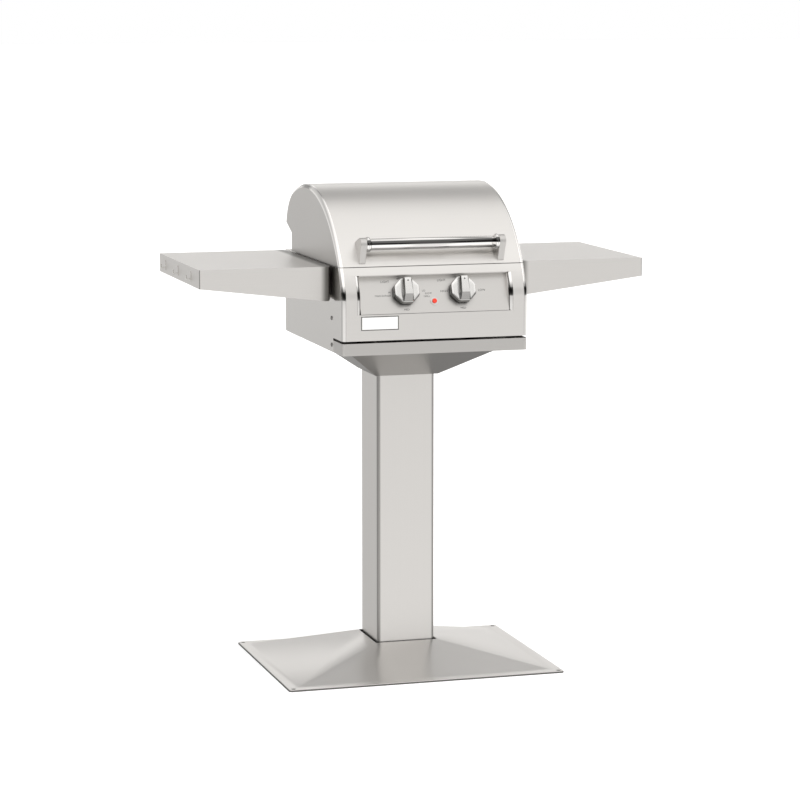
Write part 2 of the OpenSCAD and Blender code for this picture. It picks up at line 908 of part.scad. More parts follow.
rack_z = 985;
rack_in = 18;
rack_x = liner_x - rack_in;
rack_front_y = 30;
rack_back_y = 122;
rack_leg_in = 30;
rack_leg_x = rack_x - rack_leg_in;
rack_foot_z = grid_ledge_z + sheet;

module warming_rack() {
    wire = 2.5;
    bars = 6;
    leg_y = liner_back_y - sheet - wire;
    low_z = rack_z - cross_share * wire;
    color("lightgray") {
        for (i = [0:bars - 1]) translate([-rack_x, rack_front_y + i * (rack_back_y - rack_front_y) / (bars - 1), rack_z])
            rotate([0, 90, 0]) cylinder(r = wire, h = 2 * rack_x, $fn = 24);
        for (x = [-rack_leg_x, 0, rack_leg_x]) translate([x, rack_front_y - wire, low_z])
            rotate([-90, 0, 0]) cylinder(r = wire, h = leg_y + 2 * wire - rack_front_y, $fn = 24);
        for (x = [-rack_leg_x, rack_leg_x])
            translate([x, leg_y, rack_foot_z]) cylinder(r = wire - slip / 2, h = low_z - rack_foot_z, $fn = 24);
    }
}

/* Drip tray */

tray_lip = 8;
rail_h = tray_top_z - sheet - slip - floor_z - sheet;

module tray_rails() {
    rail_x = tray_half + sheet;
    color(dark) both_sides() {
        translate([rail_x, floor_front_y, floor_z + sheet]) cube([sheet, rear_in_y - floor_front_y, rail_h]);
        translate([rail_x - rail_foot_w, floor_front_y, floor_z + sheet])
            cube([rail_foot_w, rear_in_y - floor_front_y, sheet]);
    }
}

tray_front_y = tray_face_y + sheet;

module drip_tray() {
    depth = tray_back_y - tray_front_y;
    color("silver") {
        difference() {
            translate([-tray_half, tray_front_y, tray_z]) cube([2 * tray_half, depth, tray_top_z - tray_z]);
            translate([-tray_half + sheet, tray_front_y + sheet, tray_z + sheet])
                cube([2 * (tray_half - sheet), depth - 2 * sheet, far]);
        }
        both_sides() translate([tray_half - cut, tray_front_y, tray_top_z - sheet])
            cube([tray_lip + cut, depth, sheet]);
    }
}

// Front of the tray, folded round both sides of the firebox
module tray_front() {
    back = -return_y;
    ring_d = 2 * (far / 2);
    color(steel) translate([0, 0, floor_z]) {
        linear_extrude(gap_z - floor_z) intersection() {
            translate([0, tray_face_y + ring_d / 2]) rounded_ring(body_w, ring_d, trim_r, sheet);
            translate([-half_w, tray_face_y]) square([body_w, -tray_face_y - back]);
        }
        linear_extrude(sheet) intersection() {
            translate([0, tray_face_y + ring_d / 2]) rounded_rect(body_w - sheet, ring_d - sheet, trim_r);
            translate([-half_w, tray_face_y]) square([body_w, bottom_fold]);
        }
    }
}

/* Lid */

module lid_skin() {
    color(steel) across(-skin_x, skin_x) difference() {
        lid_outline(0, lid_bottom_z);
        lid_outline(sheet, lid_bottom_z - cut);
    }
}

lid_liner_gap = 12;
liner_sheet = 1.2;

module lid_liner() {
    inner = lid_liner_gap + liner_sheet;
    strip_h = 1.2;
    color("silver") {
        across(-skin_x + 1, skin_x - 1) difference() {
            lid_outline(lid_liner_gap, lid_bottom_z);
            lid_outline(inner, lid_bottom_z - cut);
            translate([0, lid_bottom_z - cut]) square([far, notch_end_z - lid_bottom_z]);
        }
        across(-skin_x + 1, skin_x - 1) intersection() {
            difference() {
                lid_outline(sheet, lid_bottom_z);
                lid_outline(lid_liner_gap, lid_bottom_z - cut);
            }
            translate([-far, lid_bottom_z]) square([far, strip_h]);
        }
    }
}

module lid_cap() {
    color(steel) across(side_in, half_w) lid_outline_flat();
}

// The flat end is drawn in by the trim, but keeps the full notch and rear edge
module lid_outline_flat() {
    intersection() {
        lid_outline(0, lid_bottom_z);
        union() {
            lid_outline_round(trim_r);
            translate([0, lid_bottom_z]) square([notch_y, notch_z - lid_bottom_z]);
        }
    }
}

module lid_outline_round(inset) {
    split_y = arc_y + (arc_r - inset) * join_dir[0];
    intersection() {
        translate([arc_y, arc_z]) circle(r = arc_r - inset, $fn = 180);
        translate([-far, lid_bottom_z]) square([far + split_y, far]);
    }
    intersection() {
        translate(rear_c) circle(r = rear_r - inset, $fn = 96);
        translate([split_y, rear_c[1]]) square([far, far]);
    }
    translate([split_y - cut, lid_bottom_z])
        square([rear_out - inset - split_y + cut, rear_c[1] - lid_bottom_z]);
}

module lid_right_cap() {
    lid_cap();
}

module lid_left_cap() {
    mirror([1, 0, 0]) lid_cap();
}

trim_foot_turn = 155;
trim_tail_turn = 5;
trim_joint_turn = 0.01;

// The long front length of the lid's edge, cut level at the seam
module lid_front_trim() {
    intersection() {
        arc_trim([arc_y, arc_z], arc_r, join_turn + trim_joint_turn, trim_foot_turn, skin_x);
        translate([skin_x - cut, -2 * arc_r, lid_bottom_z]) cube([trim_r + 2 * cut, 4 * arc_r, arc_r]);
    }
}

// The short rear length, cut along the notch
module lid_rear_trim() {
    difference() {
        arc_trim(rear_c, rear_r, trim_tail_turn, join_turn, skin_x);
        across(skin_x - cut, half_w + cut) notch_outline(0, lid_bottom_z - cut);
    }
}

module lid_trims() {
    color(bright) both_sides() {
        lid_front_trim();
        lid_rear_trim();
    }
}

handle_z = 980;
handle_out = 32.5;
handle_y = arc_front_y(handle_z, 0) - handle_out;
handle_r = handle_d / 2;
ring_r = 17;
ring_w = 8;
bracket_lead = 5;
bracket_w = 14;
bracket_x0 = handle_ring_x + bracket_lead;
bracket_x1 = bracket_x0 + bracket_w;
bracket_z0 = 939;
bracket_z1 = 993;

module handle_bar() {
    reach = handle_ring_x - ring_w / 2;
    color(bright) translate([-reach, handle_y, handle_z]) rotate([0, 90, 0]) cylinder(r = handle_r, h = 2 * reach);
}

module handle_rings() {
    color(bright) both_sides() translate([handle_ring_x - ring_w / 2, handle_y, handle_z]) rotate([0, 90, 0])
        cylinder(r = ring_r, h = bracket_x0 - handle_ring_x + ring_w / 2);
}

// Cast brackets that stand on the lid's curve and carry the bar's ends
module handle_brackets() {
    nose_r = 15;
    color(bright) both_sides() across(bracket_x0, bracket_x1) difference() {
        union() {
            translate([handle_y, handle_z]) circle(r = nose_r);
            polygon([
                [arc_front_y(bracket_z0, 0) - slip, bracket_z0],
                [handle_y - nose_r, handle_z],
                [handle_y, handle_z + nose_r],
                [arc_front_y(bracket_z1, 0) + sheet, bracket_z1 + cut],
                [arc_front_y(bracket_z0, 0) + bottom_fold, bracket_z0]]);
        }
        translate([arc_y, arc_z]) circle(r = arc_r, $fn = 180);
    }
}

module leaf_screws(x, y) {
    for (i = [-1, 1]) translate([x + i * hinge_knuckle_w, y, 0]) children();
}

module hinge_fixed_leaves() {
    leaf_h = sheet;
    color("gray") for (x = [-hinge_leaf_x, hinge_leaf_x]) difference() {
        union() {
            translate([x - hinge_leaf_w / 2, hinge_y + hinge_knuckle_r + slip, seam_z])
                cube([hinge_leaf_w, hinge_leaf_d, leaf_h]);
            for (i = [-1, 1]) translate([x + i * hinge_knuckle_w - hinge_knuckle_w / 2, hinge_y, hinge_z]) {
                rotate([0, 90, 0]) cylinder(r = hinge_knuckle_r, h = hinge_knuckle_w - slip * (1 - i) / 2);
                translate([0, 0, seam_z - hinge_z + slip / 2])
                    cube([hinge_knuckle_w - slip * (1 - i) / 2, hinge_knuckle_r + 2 * slip, leaf_h - slip / 2]);
            }
        }
        translate([x - hinge_leaf_w, hinge_y, hinge_z]) rotate([0, 90, 0])
            cylinder(r = hinge_pin_r, h = 2 * hinge_leaf_w);
        leaf_screws(x, hinge_y + hinge_screw_y) translate([0, 0, seam_z - cut])
            cylinder(r = hinge_pin_r, h = leaf_h + 2 * cut);
    }
}

module hinge_lid_leaves() {
    leaf_h = 30;
    bridge_z = hinge_z + hinge_knuckle_r - sheet;
    color("gray") for (x = [-hinge_leaf_x, hinge_leaf_x]) difference() {
        union() {
            translate([x - hinge_leaf_w / 2, notch_y, bridge_z]) cube([hinge_leaf_w, sheet, leaf_h]);
            translate([x - hinge_knuckle_w / 2 + slip, notch_y, bridge_z])
                cube([hinge_knuckle_w - 2 * slip, hinge_y - notch_y, sheet]);
            translate([x - hinge_knuckle_w / 2 + slip, hinge_y, hinge_z]) rotate([0, 90, 0])
                cylinder(r = hinge_knuckle_r, h = hinge_knuckle_w - 2 * slip);
        }
        translate([x - hinge_leaf_w, hinge_y, hinge_z]) rotate([0, 90, 0])
            cylinder(r = hinge_pin_r + pin_slip, h = 2 * hinge_leaf_w);
    }
}

module hinge_pins() {
    color("silver") for (x = [-hinge_leaf_x, hinge_leaf_x]) translate([x - hinge_leaf_w / 2, hinge_y, hinge_z])
        rotate([0, 90, 0]) cylinder(r = hinge_pin_r, h = hinge_leaf_w);
}

/* Shelves */

module shelf_plan(inset) {
    w = shelf_end_x - shelf_in_x;
    d = shelf_back_y - shelf_front_y;
    r = shelf_corner_r - inset;
    translate([shelf_in_x + inset, shelf_front_y + inset]) {
        translate([0, r]) square([w - 2 * inset, d - 2 * inset - 2 * r]);
        translate([r, 0]) square([w - 2 * inset - r, d - 2 * inset]);
        for (y = [r, d - 2 * inset - r]) translate([r, y]) circle(r = r);
    }
}

// Keeps what lies above the tapered lower edge of the flanges
module shelf_taper() {
    low = shelf_z - shelf_root_h;
    tip = shelf_z - shelf_tip_h;
    translate([0, far / 2, 0]) rotate([90, 0, 0]) linear_extrude(far) polygon([
        [half_w, low], [shelf_in_x + shelf_corner_r, low], [shelf_end_x, tip],
        [shelf_end_x + cut, tip], [shelf_end_x + cut, shelf_z], [half_w, shelf_z]]);
}

module lug() {
    lug_x = 22;
    translate([shelf_in_x + sheet - cut, 0, pivot_z - ear_r])
        cube([lug_x + pivot_x - shelf_in_x - sheet, lug_t, shelf_z - sheet - pivot_z + ear_r + slip]);
}

module shelf() {
    color(steel) difference() {
        union() {
            translate([0, 0, shelf_z - sheet]) linear_extrude(sheet) shelf_plan(0);
            intersection() {
                translate([0, 0, shelf_z - shelf_root_h]) linear_extrude(shelf_root_h) difference() {
                    shelf_plan(0);
                    shelf_plan(sheet);
                }
                shelf_taper();
            }
            translate([0, lug_y, 0]) lug();
            translate([0, -lug_y - lug_t, 0]) lug();
        }
        // The lower inner corner is cut round the pivot so that it clears the body
        difference() {
            translate([half_w, -far, pivot_z - far]) cube([pivot_x - half_w, 2 * far, far]);
            translate([pivot_x, -far - cut, pivot_z]) rotate([-90, 0, 0])
                cylinder(r = pivot_swing_r, h = 2 * far + 2 * cut);
        }
        for (y = [-ear_y, ear_y]) translate([half_w, y - ear_slot_w / 2, pivot_z - far])
            cube([shelf_in_x + 2 * sheet - half_w, ear_slot_w, far + ear_slot_up]);
        translate([pivot_x, -rod_half - cut, pivot_z]) rotate([-90, 0, 0])
            cylinder(r = rod_r + pin_slip, h = 2 * rod_half + 2 * cut);
    }
}

module right_shelf() {
    shelf();
}

module left_shelf() {
    mirror([1, 0, 0]) shelf();
}

module shelf_brackets() {
    color(dark) both_sides() for (y = [-ear_y, ear_y]) translate([0, y - ear_t / 2, 0]) difference() {
        union() {
            translate([half_w, 0, pivot_z - ear_r]) cube([pivot_x - half_w, ear_t, 2 * ear_r]);
            translate([pivot_x, 0, pivot_z]) rotate([-90, 0, 0]) cylinder(r = ear_r, h = ear_t);
        }
        translate([pivot_x, -cut, pivot_z]) rotate([-90, 0, 0]) cylinder(r = rod_r, h = ear_t + 2 * cut);
    }
}

module shelf_rods() {
    color("silver") both_sides() translate([pivot_x, -rod_half, pivot_z]) rotate([-90, 0, 0])
        cylinder(r = rod_r, h = 2 * rod_half);
}

hook_z = 909;
hook_step = 130;
hook_plate_w = 9;
hook_plate_h = 22;
hook_drop = 5.5;
hook_r = 2;
hook_reach = 9;
hook_tip = 8;

module tool_hooks() {
    color("darkgray") for (i = [-1:1]) translate([shelf_end_x, i * hook_step, hook_z]) {
        translate([0, -hook_plate_w / 2, -hook_plate_h / 2]) cube([sheet, hook_plate_w, hook_plate_h]);
        translate([sheet, 0, -hook_drop]) rotate([0, 90, 0]) cylinder(r = hook_r, h = hook_reach);
        translate([sheet + hook_reach, 0, -hook_drop]) sphere(r = hook_r, $fn = 32);
        translate([sheet + hook_reach, 0, -hook_drop]) cylinder(r = hook_r, h = hook_tip);
    }
}

module right_tool_hooks() {
    tool_hooks();
}

module left_tool_hooks() {
    mirror([1, 0, 0]) tool_hooks();
}

base_plate();
base_cover();
post_tube();
post_foot_flange();
post_foot_bolts();
post_head_plate();
post_head_bolts();
flare_cover();
firebox_floor();
firebox_left_side();
firebox_right_side();
firebox_rear_panel();
firebox_liner();
liner_ledges();
side_screws();
control_panel();
knob_panel();
panel_trims();
recess_trims();
badge_plate();
gas_pipe();
manifold();
left_valve();
right_valve();
left_push_collar();
right_push_collar();
left_valve_stem();
right_valve_stem();
left_knob();
right_knob();
igniter_housing();
igniter_button();
left_burner();
right_burner();
left_flame_tamer();
right_flame_tamer();
left_cooking_grid();
right_cooking_grid();
warming_rack();
tray_rails();
drip_tray();
tray_front();
lid_skin();
lid_liner();
lid_left_cap();
lid_right_cap();
lid_trims();
handle_bar();
handle_rings();
handle_brackets();
hinge_fixed_leaves();
hinge_lid_leaves();
hinge_pins();
left_shelf();
right_shelf();
shelf_brackets();
shelf_rods();
left_tool_hooks();
right_tool_hooks();
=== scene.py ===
# %% [markdown]
# # A post-mounted stainless gas grill, dressed in Blender
# The real object is a two-burner gas grill on a square post. Its hood, firebox, shelves and base
# are folded stainless sheet, with polished bends, a tube handle and two cast dials. The sizes, the
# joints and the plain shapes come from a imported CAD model. This lesson loads that model as a fixed
# frame and gives it what metal in a showroom has: brushed and polished finishes, softened edges,
# dials with pointers and words, screw heads and turned collars. Lengths on the grill are in
# millimetres, and MM turns them into Blender's metres. The studio's own lengths are in metres.

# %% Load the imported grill
import json
import math

import bmesh
import bpy
from mathutils import Matrix, Vector


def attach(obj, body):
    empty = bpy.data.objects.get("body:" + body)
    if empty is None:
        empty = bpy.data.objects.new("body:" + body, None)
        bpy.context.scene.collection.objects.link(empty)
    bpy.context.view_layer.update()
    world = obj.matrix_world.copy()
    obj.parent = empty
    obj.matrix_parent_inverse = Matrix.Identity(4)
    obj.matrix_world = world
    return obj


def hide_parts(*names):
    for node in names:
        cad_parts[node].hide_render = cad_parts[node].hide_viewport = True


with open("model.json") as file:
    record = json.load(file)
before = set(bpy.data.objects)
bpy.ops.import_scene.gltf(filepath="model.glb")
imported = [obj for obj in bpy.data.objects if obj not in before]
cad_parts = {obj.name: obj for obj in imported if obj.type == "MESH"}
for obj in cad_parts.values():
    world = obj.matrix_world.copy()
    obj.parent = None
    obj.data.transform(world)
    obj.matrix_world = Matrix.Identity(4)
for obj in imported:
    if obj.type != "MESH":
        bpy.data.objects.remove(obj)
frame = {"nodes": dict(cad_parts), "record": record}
nodes = frame["nodes"]
bpy.context.view_layer.update()

# %% [markdown]
# ## The camera
# The photograph was taken from the front, a little to the left and slightly above, with a long
# lens. A camera can be placed by eye, but here its place was solved from the straight edges of
# the shelves, the post and the base, so the render lies over the photograph line for line.

# %% Place the camera
MM = 0.001
AIM = Vector((5.85, 0, 599.12)) * MM
CAMERA_AZIMUTH = math.radians(-16.555)
CAMERA_ELEVATION = math.radians(8.301)
CAMERA_DISTANCE = 6593.1 * MM
SENSOR_WIDTH, FOCAL_PIXELS, PHOTO_PIXELS = 36, 2902.87, 800
FAR_CLIP = 500

camera = bpy.data.objects.new("camera", bpy.data.cameras.new("camera"))
bpy.context.scene.collection.objects.link(camera)
bpy.context.scene.camera = camera
towards = Vector((
    math.sin(CAMERA_AZIMUTH) * math.cos(CAMERA_ELEVATION),
    -math.cos(CAMERA_AZIMUTH) * math.cos(CAMERA_ELEVATION),
    math.sin(CAMERA_ELEVATION),
))
camera.location = AIM + CAMERA_DISTANCE * towards
camera.rotation_euler = (-towards).to_track_quat("-Z", "Y").to_euler()
camera.data.sensor_width = SENSOR_WIDTH
camera.data.lens = SENSOR_WIDTH * FOCAL_PIXELS / PHOTO_PIXELS
camera.data.clip_end = FAR_CLIP
print("camera at", [round(c, 3) for c in camera.location], "lens", round(camera.data.lens, 1), "mm")

# %% [markdown]
# ## Small helpers for shader nodes
# Every finish and the sky are small trees of nodes. They could be wired by hand each time, but a
# few helpers named for what they do keep each finish down to the lines that matter. The first
# three link two sockets, take a direction or a place apart, and turn a number into a grey.

# %% Link nodes, take directions apart, make a ramp
scene = bpy.context.scene
scene.view_settings.view_transform = "Standard"
WARM_WHITE = (1, 0.988, 0.972)


def link(tree, source, target):
    tree.links.new(source, target)


def parts_of(tree, kind):
    """The x, y and z of a texture coordinate, such as Object or Normal."""
    where = tree.nodes.new("ShaderNodeTexCoord")
    parts = tree.nodes.new("ShaderNodeSeparateXYZ")
    link(tree, where.outputs[kind], parts.inputs[0])
    return parts.outputs


def ramp(tree, stops, smooth="EASE"):
    """A ramp of faintly warm greys through (place, value) stops."""
    node = tree.nodes.new("ShaderNodeValToRGB")
    node.color_ramp.interpolation = smooth
    elements = node.color_ramp.elements
    while len(elements) > 1:
        elements.remove(elements[-1])
    for i, (place, value) in enumerate(stops):
        element = elements[0] if i == 0 else elements.new(place)
        element.position = place
        element.color = (*(value * c for c in WARM_WHITE), 1)
    return node


print("links, parts and ramps ready")

# %% [markdown]
# ## The studio's sky
# Steel shows its surroundings more than itself, so what stands round the grill is the largest part
# of its look. A picture of a studio could be wrapped round the scene. Four ramps of grey from the
# ground up to the zenith need no picture and can be tuned one at a time: what the front faces,
# the sides, and the left and the right behind the grill. The dark band at the sides gives the
# rounded edges their contrast, and the dips behind on the right give the hood its soft dark top
# and the base its darker front slope.

# %% Set the greys of the sky
SKY_AHEAD = [
    (-90, 0.95), (-30, 1.0), (-10, 0.93), (0, 0.86), (15, 0.76), (36, 0.88), (52, 1.28), (90, 1.05)]
SKY_SIDES = [
    (-90, 1.1), (-14, 1.35), (-7, 1.35), (-3, 0.5), (2, 0.2), (9, 0.12), (16, 0.1), (22, 0.3),
    (27, 1.1), (60, 1.15), (90, 1.05)]
SKY_BEHIND_LEFT = [
    (-90, 0.5), (-40, 0.5), (-12, 0.6), (0, 0.8), (20, 0.6), (45, 0.5), (70, 0.8), (90, 1.05)]
SKY_BEHIND_RIGHT = [
    (-90, 0.45), (-40, 0.4), (-18, 0.35), (-11, 1.15), (-2, 1.4), (4, 1.4), (6, 0.3), (8, 0.08),
    (10, 0.3), (12, 1.4), (20, 1.2), (30, 0.55), (40, 0.28), (47, 0.35), (56, 0.95), (72, 1.15),
    (90, 1.05)]


def height_stop(degrees, value):
    """A stop of a sky ramp at an elevation, as a share of the way from straight down to straight up."""
    return 0.5 + 0.5 * math.sin(math.radians(degrees)), value


world = bpy.data.worlds.new("studio")
scene.world = world
world.use_nodes = True
tree = world.node_tree
tree.nodes.clear()
direction = parts_of(tree, "Generated")
height = tree.nodes.new("ShaderNodeMapRange")
height.inputs["From Min"].default_value = -1
link(tree, direction["Z"], height.inputs["Value"])
skies = []
for stops in (SKY_AHEAD, SKY_SIDES, SKY_BEHIND_LEFT, SKY_BEHIND_RIGHT):
    sky_ramp = ramp(tree, [height_stop(*s) for s in stops])
    link(tree, height.outputs[0], sky_ramp.inputs[0])
    skies.append(sky_ramp.outputs[0])
print(len(skies), "greys of the sky")

# %% Add, share out and mix
def math_step(tree, operation, first, second=None):
    made = tree.nodes.new("ShaderNodeMath")
    made.operation = operation
    for socket, value in zip(made.inputs, (first, second)):
        if isinstance(value, (int, float)):
            socket.default_value = value
        elif value is not None:
            link(tree, value, socket)
    return made.outputs[0]


def share_between(tree, value, low, high):
    """Runs smoothly from 0 at low to 1 at high."""
    made = tree.nodes.new("ShaderNodeMapRange")
    made.interpolation_type = "SMOOTHSTEP"
    made.inputs["From Min"].default_value = low
    made.inputs["From Max"].default_value = high
    link(tree, value, made.inputs["Value"])
    return made.outputs[0]


def mixed(tree, share, first, second):
    """The first colour at share 0 and the second at share 1, each a colour or a socket."""
    made = tree.nodes.new("ShaderNodeMix")
    made.data_type = "RGBA"
    link(tree, share, made.inputs["Factor"])
    for socket, value in zip((made.inputs["A"], made.inputs["B"]), (first, second)):
        if isinstance(value, tuple):
            socket.default_value = (*value, 1)
        else:
            link(tree, value, socket)
    return made.outputs["Result"]


print("sums, shares and mixes ready")

# %% Join the four greys into one sky
AHEAD = math.radians(16.5)
AHEAD_CORE, AHEAD_RIM = math.radians(12), math.radians(30)
LEFT_SIDE, RIGHT_SIDE = -0.12, 0.12
FRONT_SIDE, BACK_SIDE = -0.35, 0.5

turn = math_step(tree, "ARCTAN2", direction["X"], math_step(tree, "MULTIPLY", direction["Y"], -1))
off_ahead = math_step(tree, "ABSOLUTE", math_step(tree, "SUBTRACT", turn, AHEAD))
near_sky = mixed(tree, share_between(tree, off_ahead, AHEAD_CORE, AHEAD_RIM), skies[0], skies[1])
far_sky = mixed(tree, share_between(tree, direction["X"], LEFT_SIDE, RIGHT_SIDE), skies[2], skies[3])
whole_sky = mixed(tree, share_between(tree, direction["Y"], FRONT_SIDE, BACK_SIDE), near_sky, far_sky)
glow = tree.nodes.new("ShaderNodeBackground")
link(tree, whole_sky, glow.inputs["Color"])
white = tree.nodes.new("ShaderNodeBackground")
white.inputs["Color"].default_value = (1, 1, 1, 1)
path = tree.nodes.new("ShaderNodeLightPath")
choose = tree.nodes.new("ShaderNodeMixShader")
link(tree, path.outputs["Is Camera Ray"], choose.inputs[0])
link(tree, glow.outputs[0], choose.inputs[1])
link(tree, white.outputs[0], choose.inputs[2])
out = tree.nodes.new("ShaderNodeOutputWorld")
link(tree, choose.outputs[0], out.inputs["Surface"])
print(len(tree.nodes), "nodes in the sky, which looks plain white to the camera")

# %% [markdown]
# ## Floor and soft light
# A product photograph stands on white with hardly a shadow. A plain white plane would come out
# grey under the grill, so the floor is pale and glows a little. Mirrored rays pass it by, because
# its far edge would draw a line across every sheet. One large soft sun from above and in front
# gives the faint shadows, and is hidden from mirrored rays too.

# %% Lay the floor
FLOOR_HALF = 60
floor_mesh = bpy.data.meshes.new("studio_floor")
corners = [(x * FLOOR_HALF, y * FLOOR_HALF, 0) for x, y in ((-1, -1), (1, -1), (1, 1), (-1, 1))]
floor_mesh.from_pydata(corners, [], [(0, 1, 2, 3)])
floor = bpy.data.objects.new("studio_floor", floor_mesh)
scene.collection.objects.link(floor)
floor_paint = bpy.data.materials.new("pale_floor")
floor_paint.use_nodes = True
paint = floor_paint.node_tree.nodes["Principled BSDF"]
paint.inputs["Base Color"].default_value = (0.86, 0.86, 0.86, 1)
paint.inputs["Roughness"].default_value = 0.9
paint.inputs["Specular IOR Level"].default_value = 0.1
paint.inputs["Emission Color"].default_value = (1, 1, 1, 1)
paint.inputs["Emission Strength"].default_value = 0.3
floor_mesh.materials.append(floor_paint)
floor.visible_glossy = False
print("floor", 2 * FLOOR_HALF, "m wide")

# %% Hang the soft light
def soft_light(name, place, spread_degrees, strength):
    """A far soft light that shapes shadows and lights the floor evenly, but isn't mirrored in steel."""
    lamp = bpy.data.lights.new(name, "SUN")
    lamp.angle = math.radians(spread_degrees)
    lamp.energy = strength
    made = bpy.data.objects.new(name, lamp)
    scene.collection.objects.link(made)
    made.location = place
    made.rotation_euler = (-Vector(place)).to_track_quat("-Z", "Y").to_euler()
    made.visible_glossy = False
    return made


top_light = soft_light("top_light", (1.2, -1.6, 5.5), 60, 1.6)
print(top_light.name, "ready")

# %% [markdown]
# ## Brushed steel
# Brushed stainless is rolled sheet rubbed with an abrasive belt. Fine scratches all run one way,
# so reflections smear across them. Image textures could hold the scratches, but a stretched noise
# does it at any distance and needs no picture: it is squeezed across the grain and drawn out
# along it, and moves the roughness, the tone and a very small bump.

# %% Start a finish and give it noise
def new_finish(name, colour, metallic, roughness):
    finish = bpy.data.materials.new(name)
    finish.use_nodes = True
    shader = finish.node_tree.nodes["Principled BSDF"]
    shader.inputs["Base Color"].default_value = (*colour, 1)
    shader.inputs["Metallic"].default_value = metallic
    shader.inputs["Roughness"].default_value = roughness
    return finish, finish.node_tree, shader


def noise(tree, scale, stretched=(1, 1, 1), detail=3.0):
    where = tree.nodes.new("ShaderNodeTexCoord")
    stretch = tree.nodes.new("ShaderNodeMapping")
    stretch.inputs["Scale"].default_value = stretched
    link(tree, where.outputs["Object"], stretch.inputs["Vector"])
    made = tree.nodes.new("ShaderNodeTexNoise")
    made.inputs["Scale"].default_value = scale
    made.inputs["Detail"].default_value = detail
    link(tree, stretch.outputs["Vector"], made.inputs["Vector"])
    return made.outputs["Fac"]


def spread(tree, value, low, high, low_in=0.25, high_in=0.75):
    """Carries the useful middle of a noise over to the range from low to high."""
    made = tree.nodes.new("ShaderNodeMapRange")
    made.inputs["From Min"].default_value = low_in
    made.inputs["From Max"].default_value = high_in
    made.inputs["To Min"].default_value = low
    made.inputs["To Max"].default_value = high
    link(tree, value, made.inputs["Value"])
    return made.outputs[0]


def scratches(tree, shader, value, strength, depth=0.05 * MM):
    bump = tree.nodes.new("ShaderNodeBump")
    bump.inputs["Strength"].default_value = strength
    bump.inputs["Distance"].default_value = depth
    link(tree, value, bump.inputs["Height"])
    link(tree, bump.outputs["Normal"], shader.inputs["Normal"])


print("noise and scratches ready")

# %% Build a brushed finish
FINE, LONG = 2600, 3
GRAIN_ALONG = {"x": (LONG, FINE, FINE), "y": (FINE, LONG, FINE), "z": (FINE, FINE, LONG)}
IN_GROOVES = 0.965


def brushed_parts(name, grain, colour, roughness=0.34, depth=0.12):
    """A brushed finish with its tree, its shader and the socket of its tone, for more work on it."""
    finish, tree, shader = new_finish(name, colour, 1.0, roughness)
    lines = noise(tree, 1.0, GRAIN_ALONG[grain], 2.0)
    clouds = noise(tree, 5.0)
    wear_and_shade = math_step(tree, "ADD", math_step(tree, "MULTIPLY", clouds, 0.35), lines)
    rough = spread(tree, wear_and_shade, roughness - 0.05, roughness + 0.06, 0.4, 1.0)
    link(tree, rough, shader.inputs["Roughness"])
    darker = tuple(IN_GROOVES * c for c in colour)
    tone = mixed(tree, spread(tree, lines, 0, 1), darker, colour)
    link(tree, tone, shader.inputs["Base Color"])
    scratches(tree, shader, lines, depth)
    return finish, tree, shader, tone


print("grain along", ", ".join(GRAIN_ALONG))

# %% [markdown]
# ## A painted shade for each kind of sheet
# The same steel looks different on the hood, the caps and the firebox, because each mirrors
# another part of a real room. A richer studio could bring that out, but it would change every
# other sheet with it. A painted reflection and shade, as a tone of its own for each kind of sheet,
# is easier to keep in hand.

# %% Brush the sheets
def brushed(name, grain, colour, roughness=0.34):
    return brushed_parts(name, grain, colour, roughness)[0]


brushed_across = brushed("brushed_stainless_across", "x", (0.80, 0.785, 0.765))
# Each finish below is the same steel in a darker tone: painted shade and reflection for its sheet.
brushed_deep_painted_shade = brushed("brushed_stainless_deep_painted_shade", "y", (0.74, 0.726, 0.707), 0.2)
brushed_panel_painted_shade = brushed("brushed_stainless_panel_painted_shade", "x", (0.73, 0.716, 0.697))
brushed_cap_painted_shade = brushed("brushed_stainless_cap_painted_shade", "y", (0.64, 0.628, 0.612))
brushed_band_painted_shade = brushed("brushed_stainless_band_painted_shade", "x", (0.6, 0.588, 0.572))
brushed_under_painted_shade = brushed("brushed_stainless_under_painted_shade", "x", (0.42, 0.411, 0.4))
print(len(bpy.data.materials) - 1, "brushed finishes")

# %% [markdown]
# ## The post's corners
# The post is a square tube, rolled round at its corners, which show as narrow dark strips. A
# bright tube in this white studio has nothing dark to mirror there. So a dark reflection is painted
# into its tone where both x and y are near the outside, and that is only so round the corners.

# %% Darken the post's rolled corners
POST_HALF, POST_CORNER = 67, 7
CORNER_PAINTED_REFLECTION = (0.3, 0.293, 0.285)


def rolled_post(name):
    """Brushed upright, with a painted dark reflection round the rolled corners."""
    finish, tree, shader, tone = brushed_parts(name, "z", (0.80, 0.785, 0.765))
    place = parts_of(tree, "Object")
    off_x, off_y = (math_step(tree, "ABSOLUTE", place[axis]) for axis in "XY")
    inner = math_step(tree, "MINIMUM", off_x, off_y)
    bend_starts = POST_HALF - POST_CORNER
    # This mask places the painted dark reflection on the rolled corners.
    corner = share_between(tree, inner, (bend_starts - 1.5) * MM, (bend_starts + 3) * MM)
    link(tree, mixed(tree, corner, tone, CORNER_PAINTED_REFLECTION), shader.inputs["Base Color"])
    return finish


brushed_upright = rolled_post("brushed_stainless_upright")
print("corners darken", POST_HALF - POST_CORNER, "mm from the post's axis")

# %% [markdown]
# ## The shelves
# Each shelf is a folded tray. Its end beside the firebox is bent round a larger radius and looks
# dark there, and its sharp outer bend shows as a thin dark line. Real bends do this by mirroring
# the gap and the floor. Here that dark reflection and shade is painted into the tone by place,
# which holds from every side.

# %% Darken the shelves' bends
SHELF_IN, SHELF_OUT, SHELF_FRONT, SHELF_CORNER = 213.5, 505.4, 216, 14
LINE_IN, LINE_OUT = 1.8, 0.9
BEND_PAINTED_SHADE, LINE_PAINTED_SHADE = (0.22, 0.215, 0.205), (0.2, 0.196, 0.19)


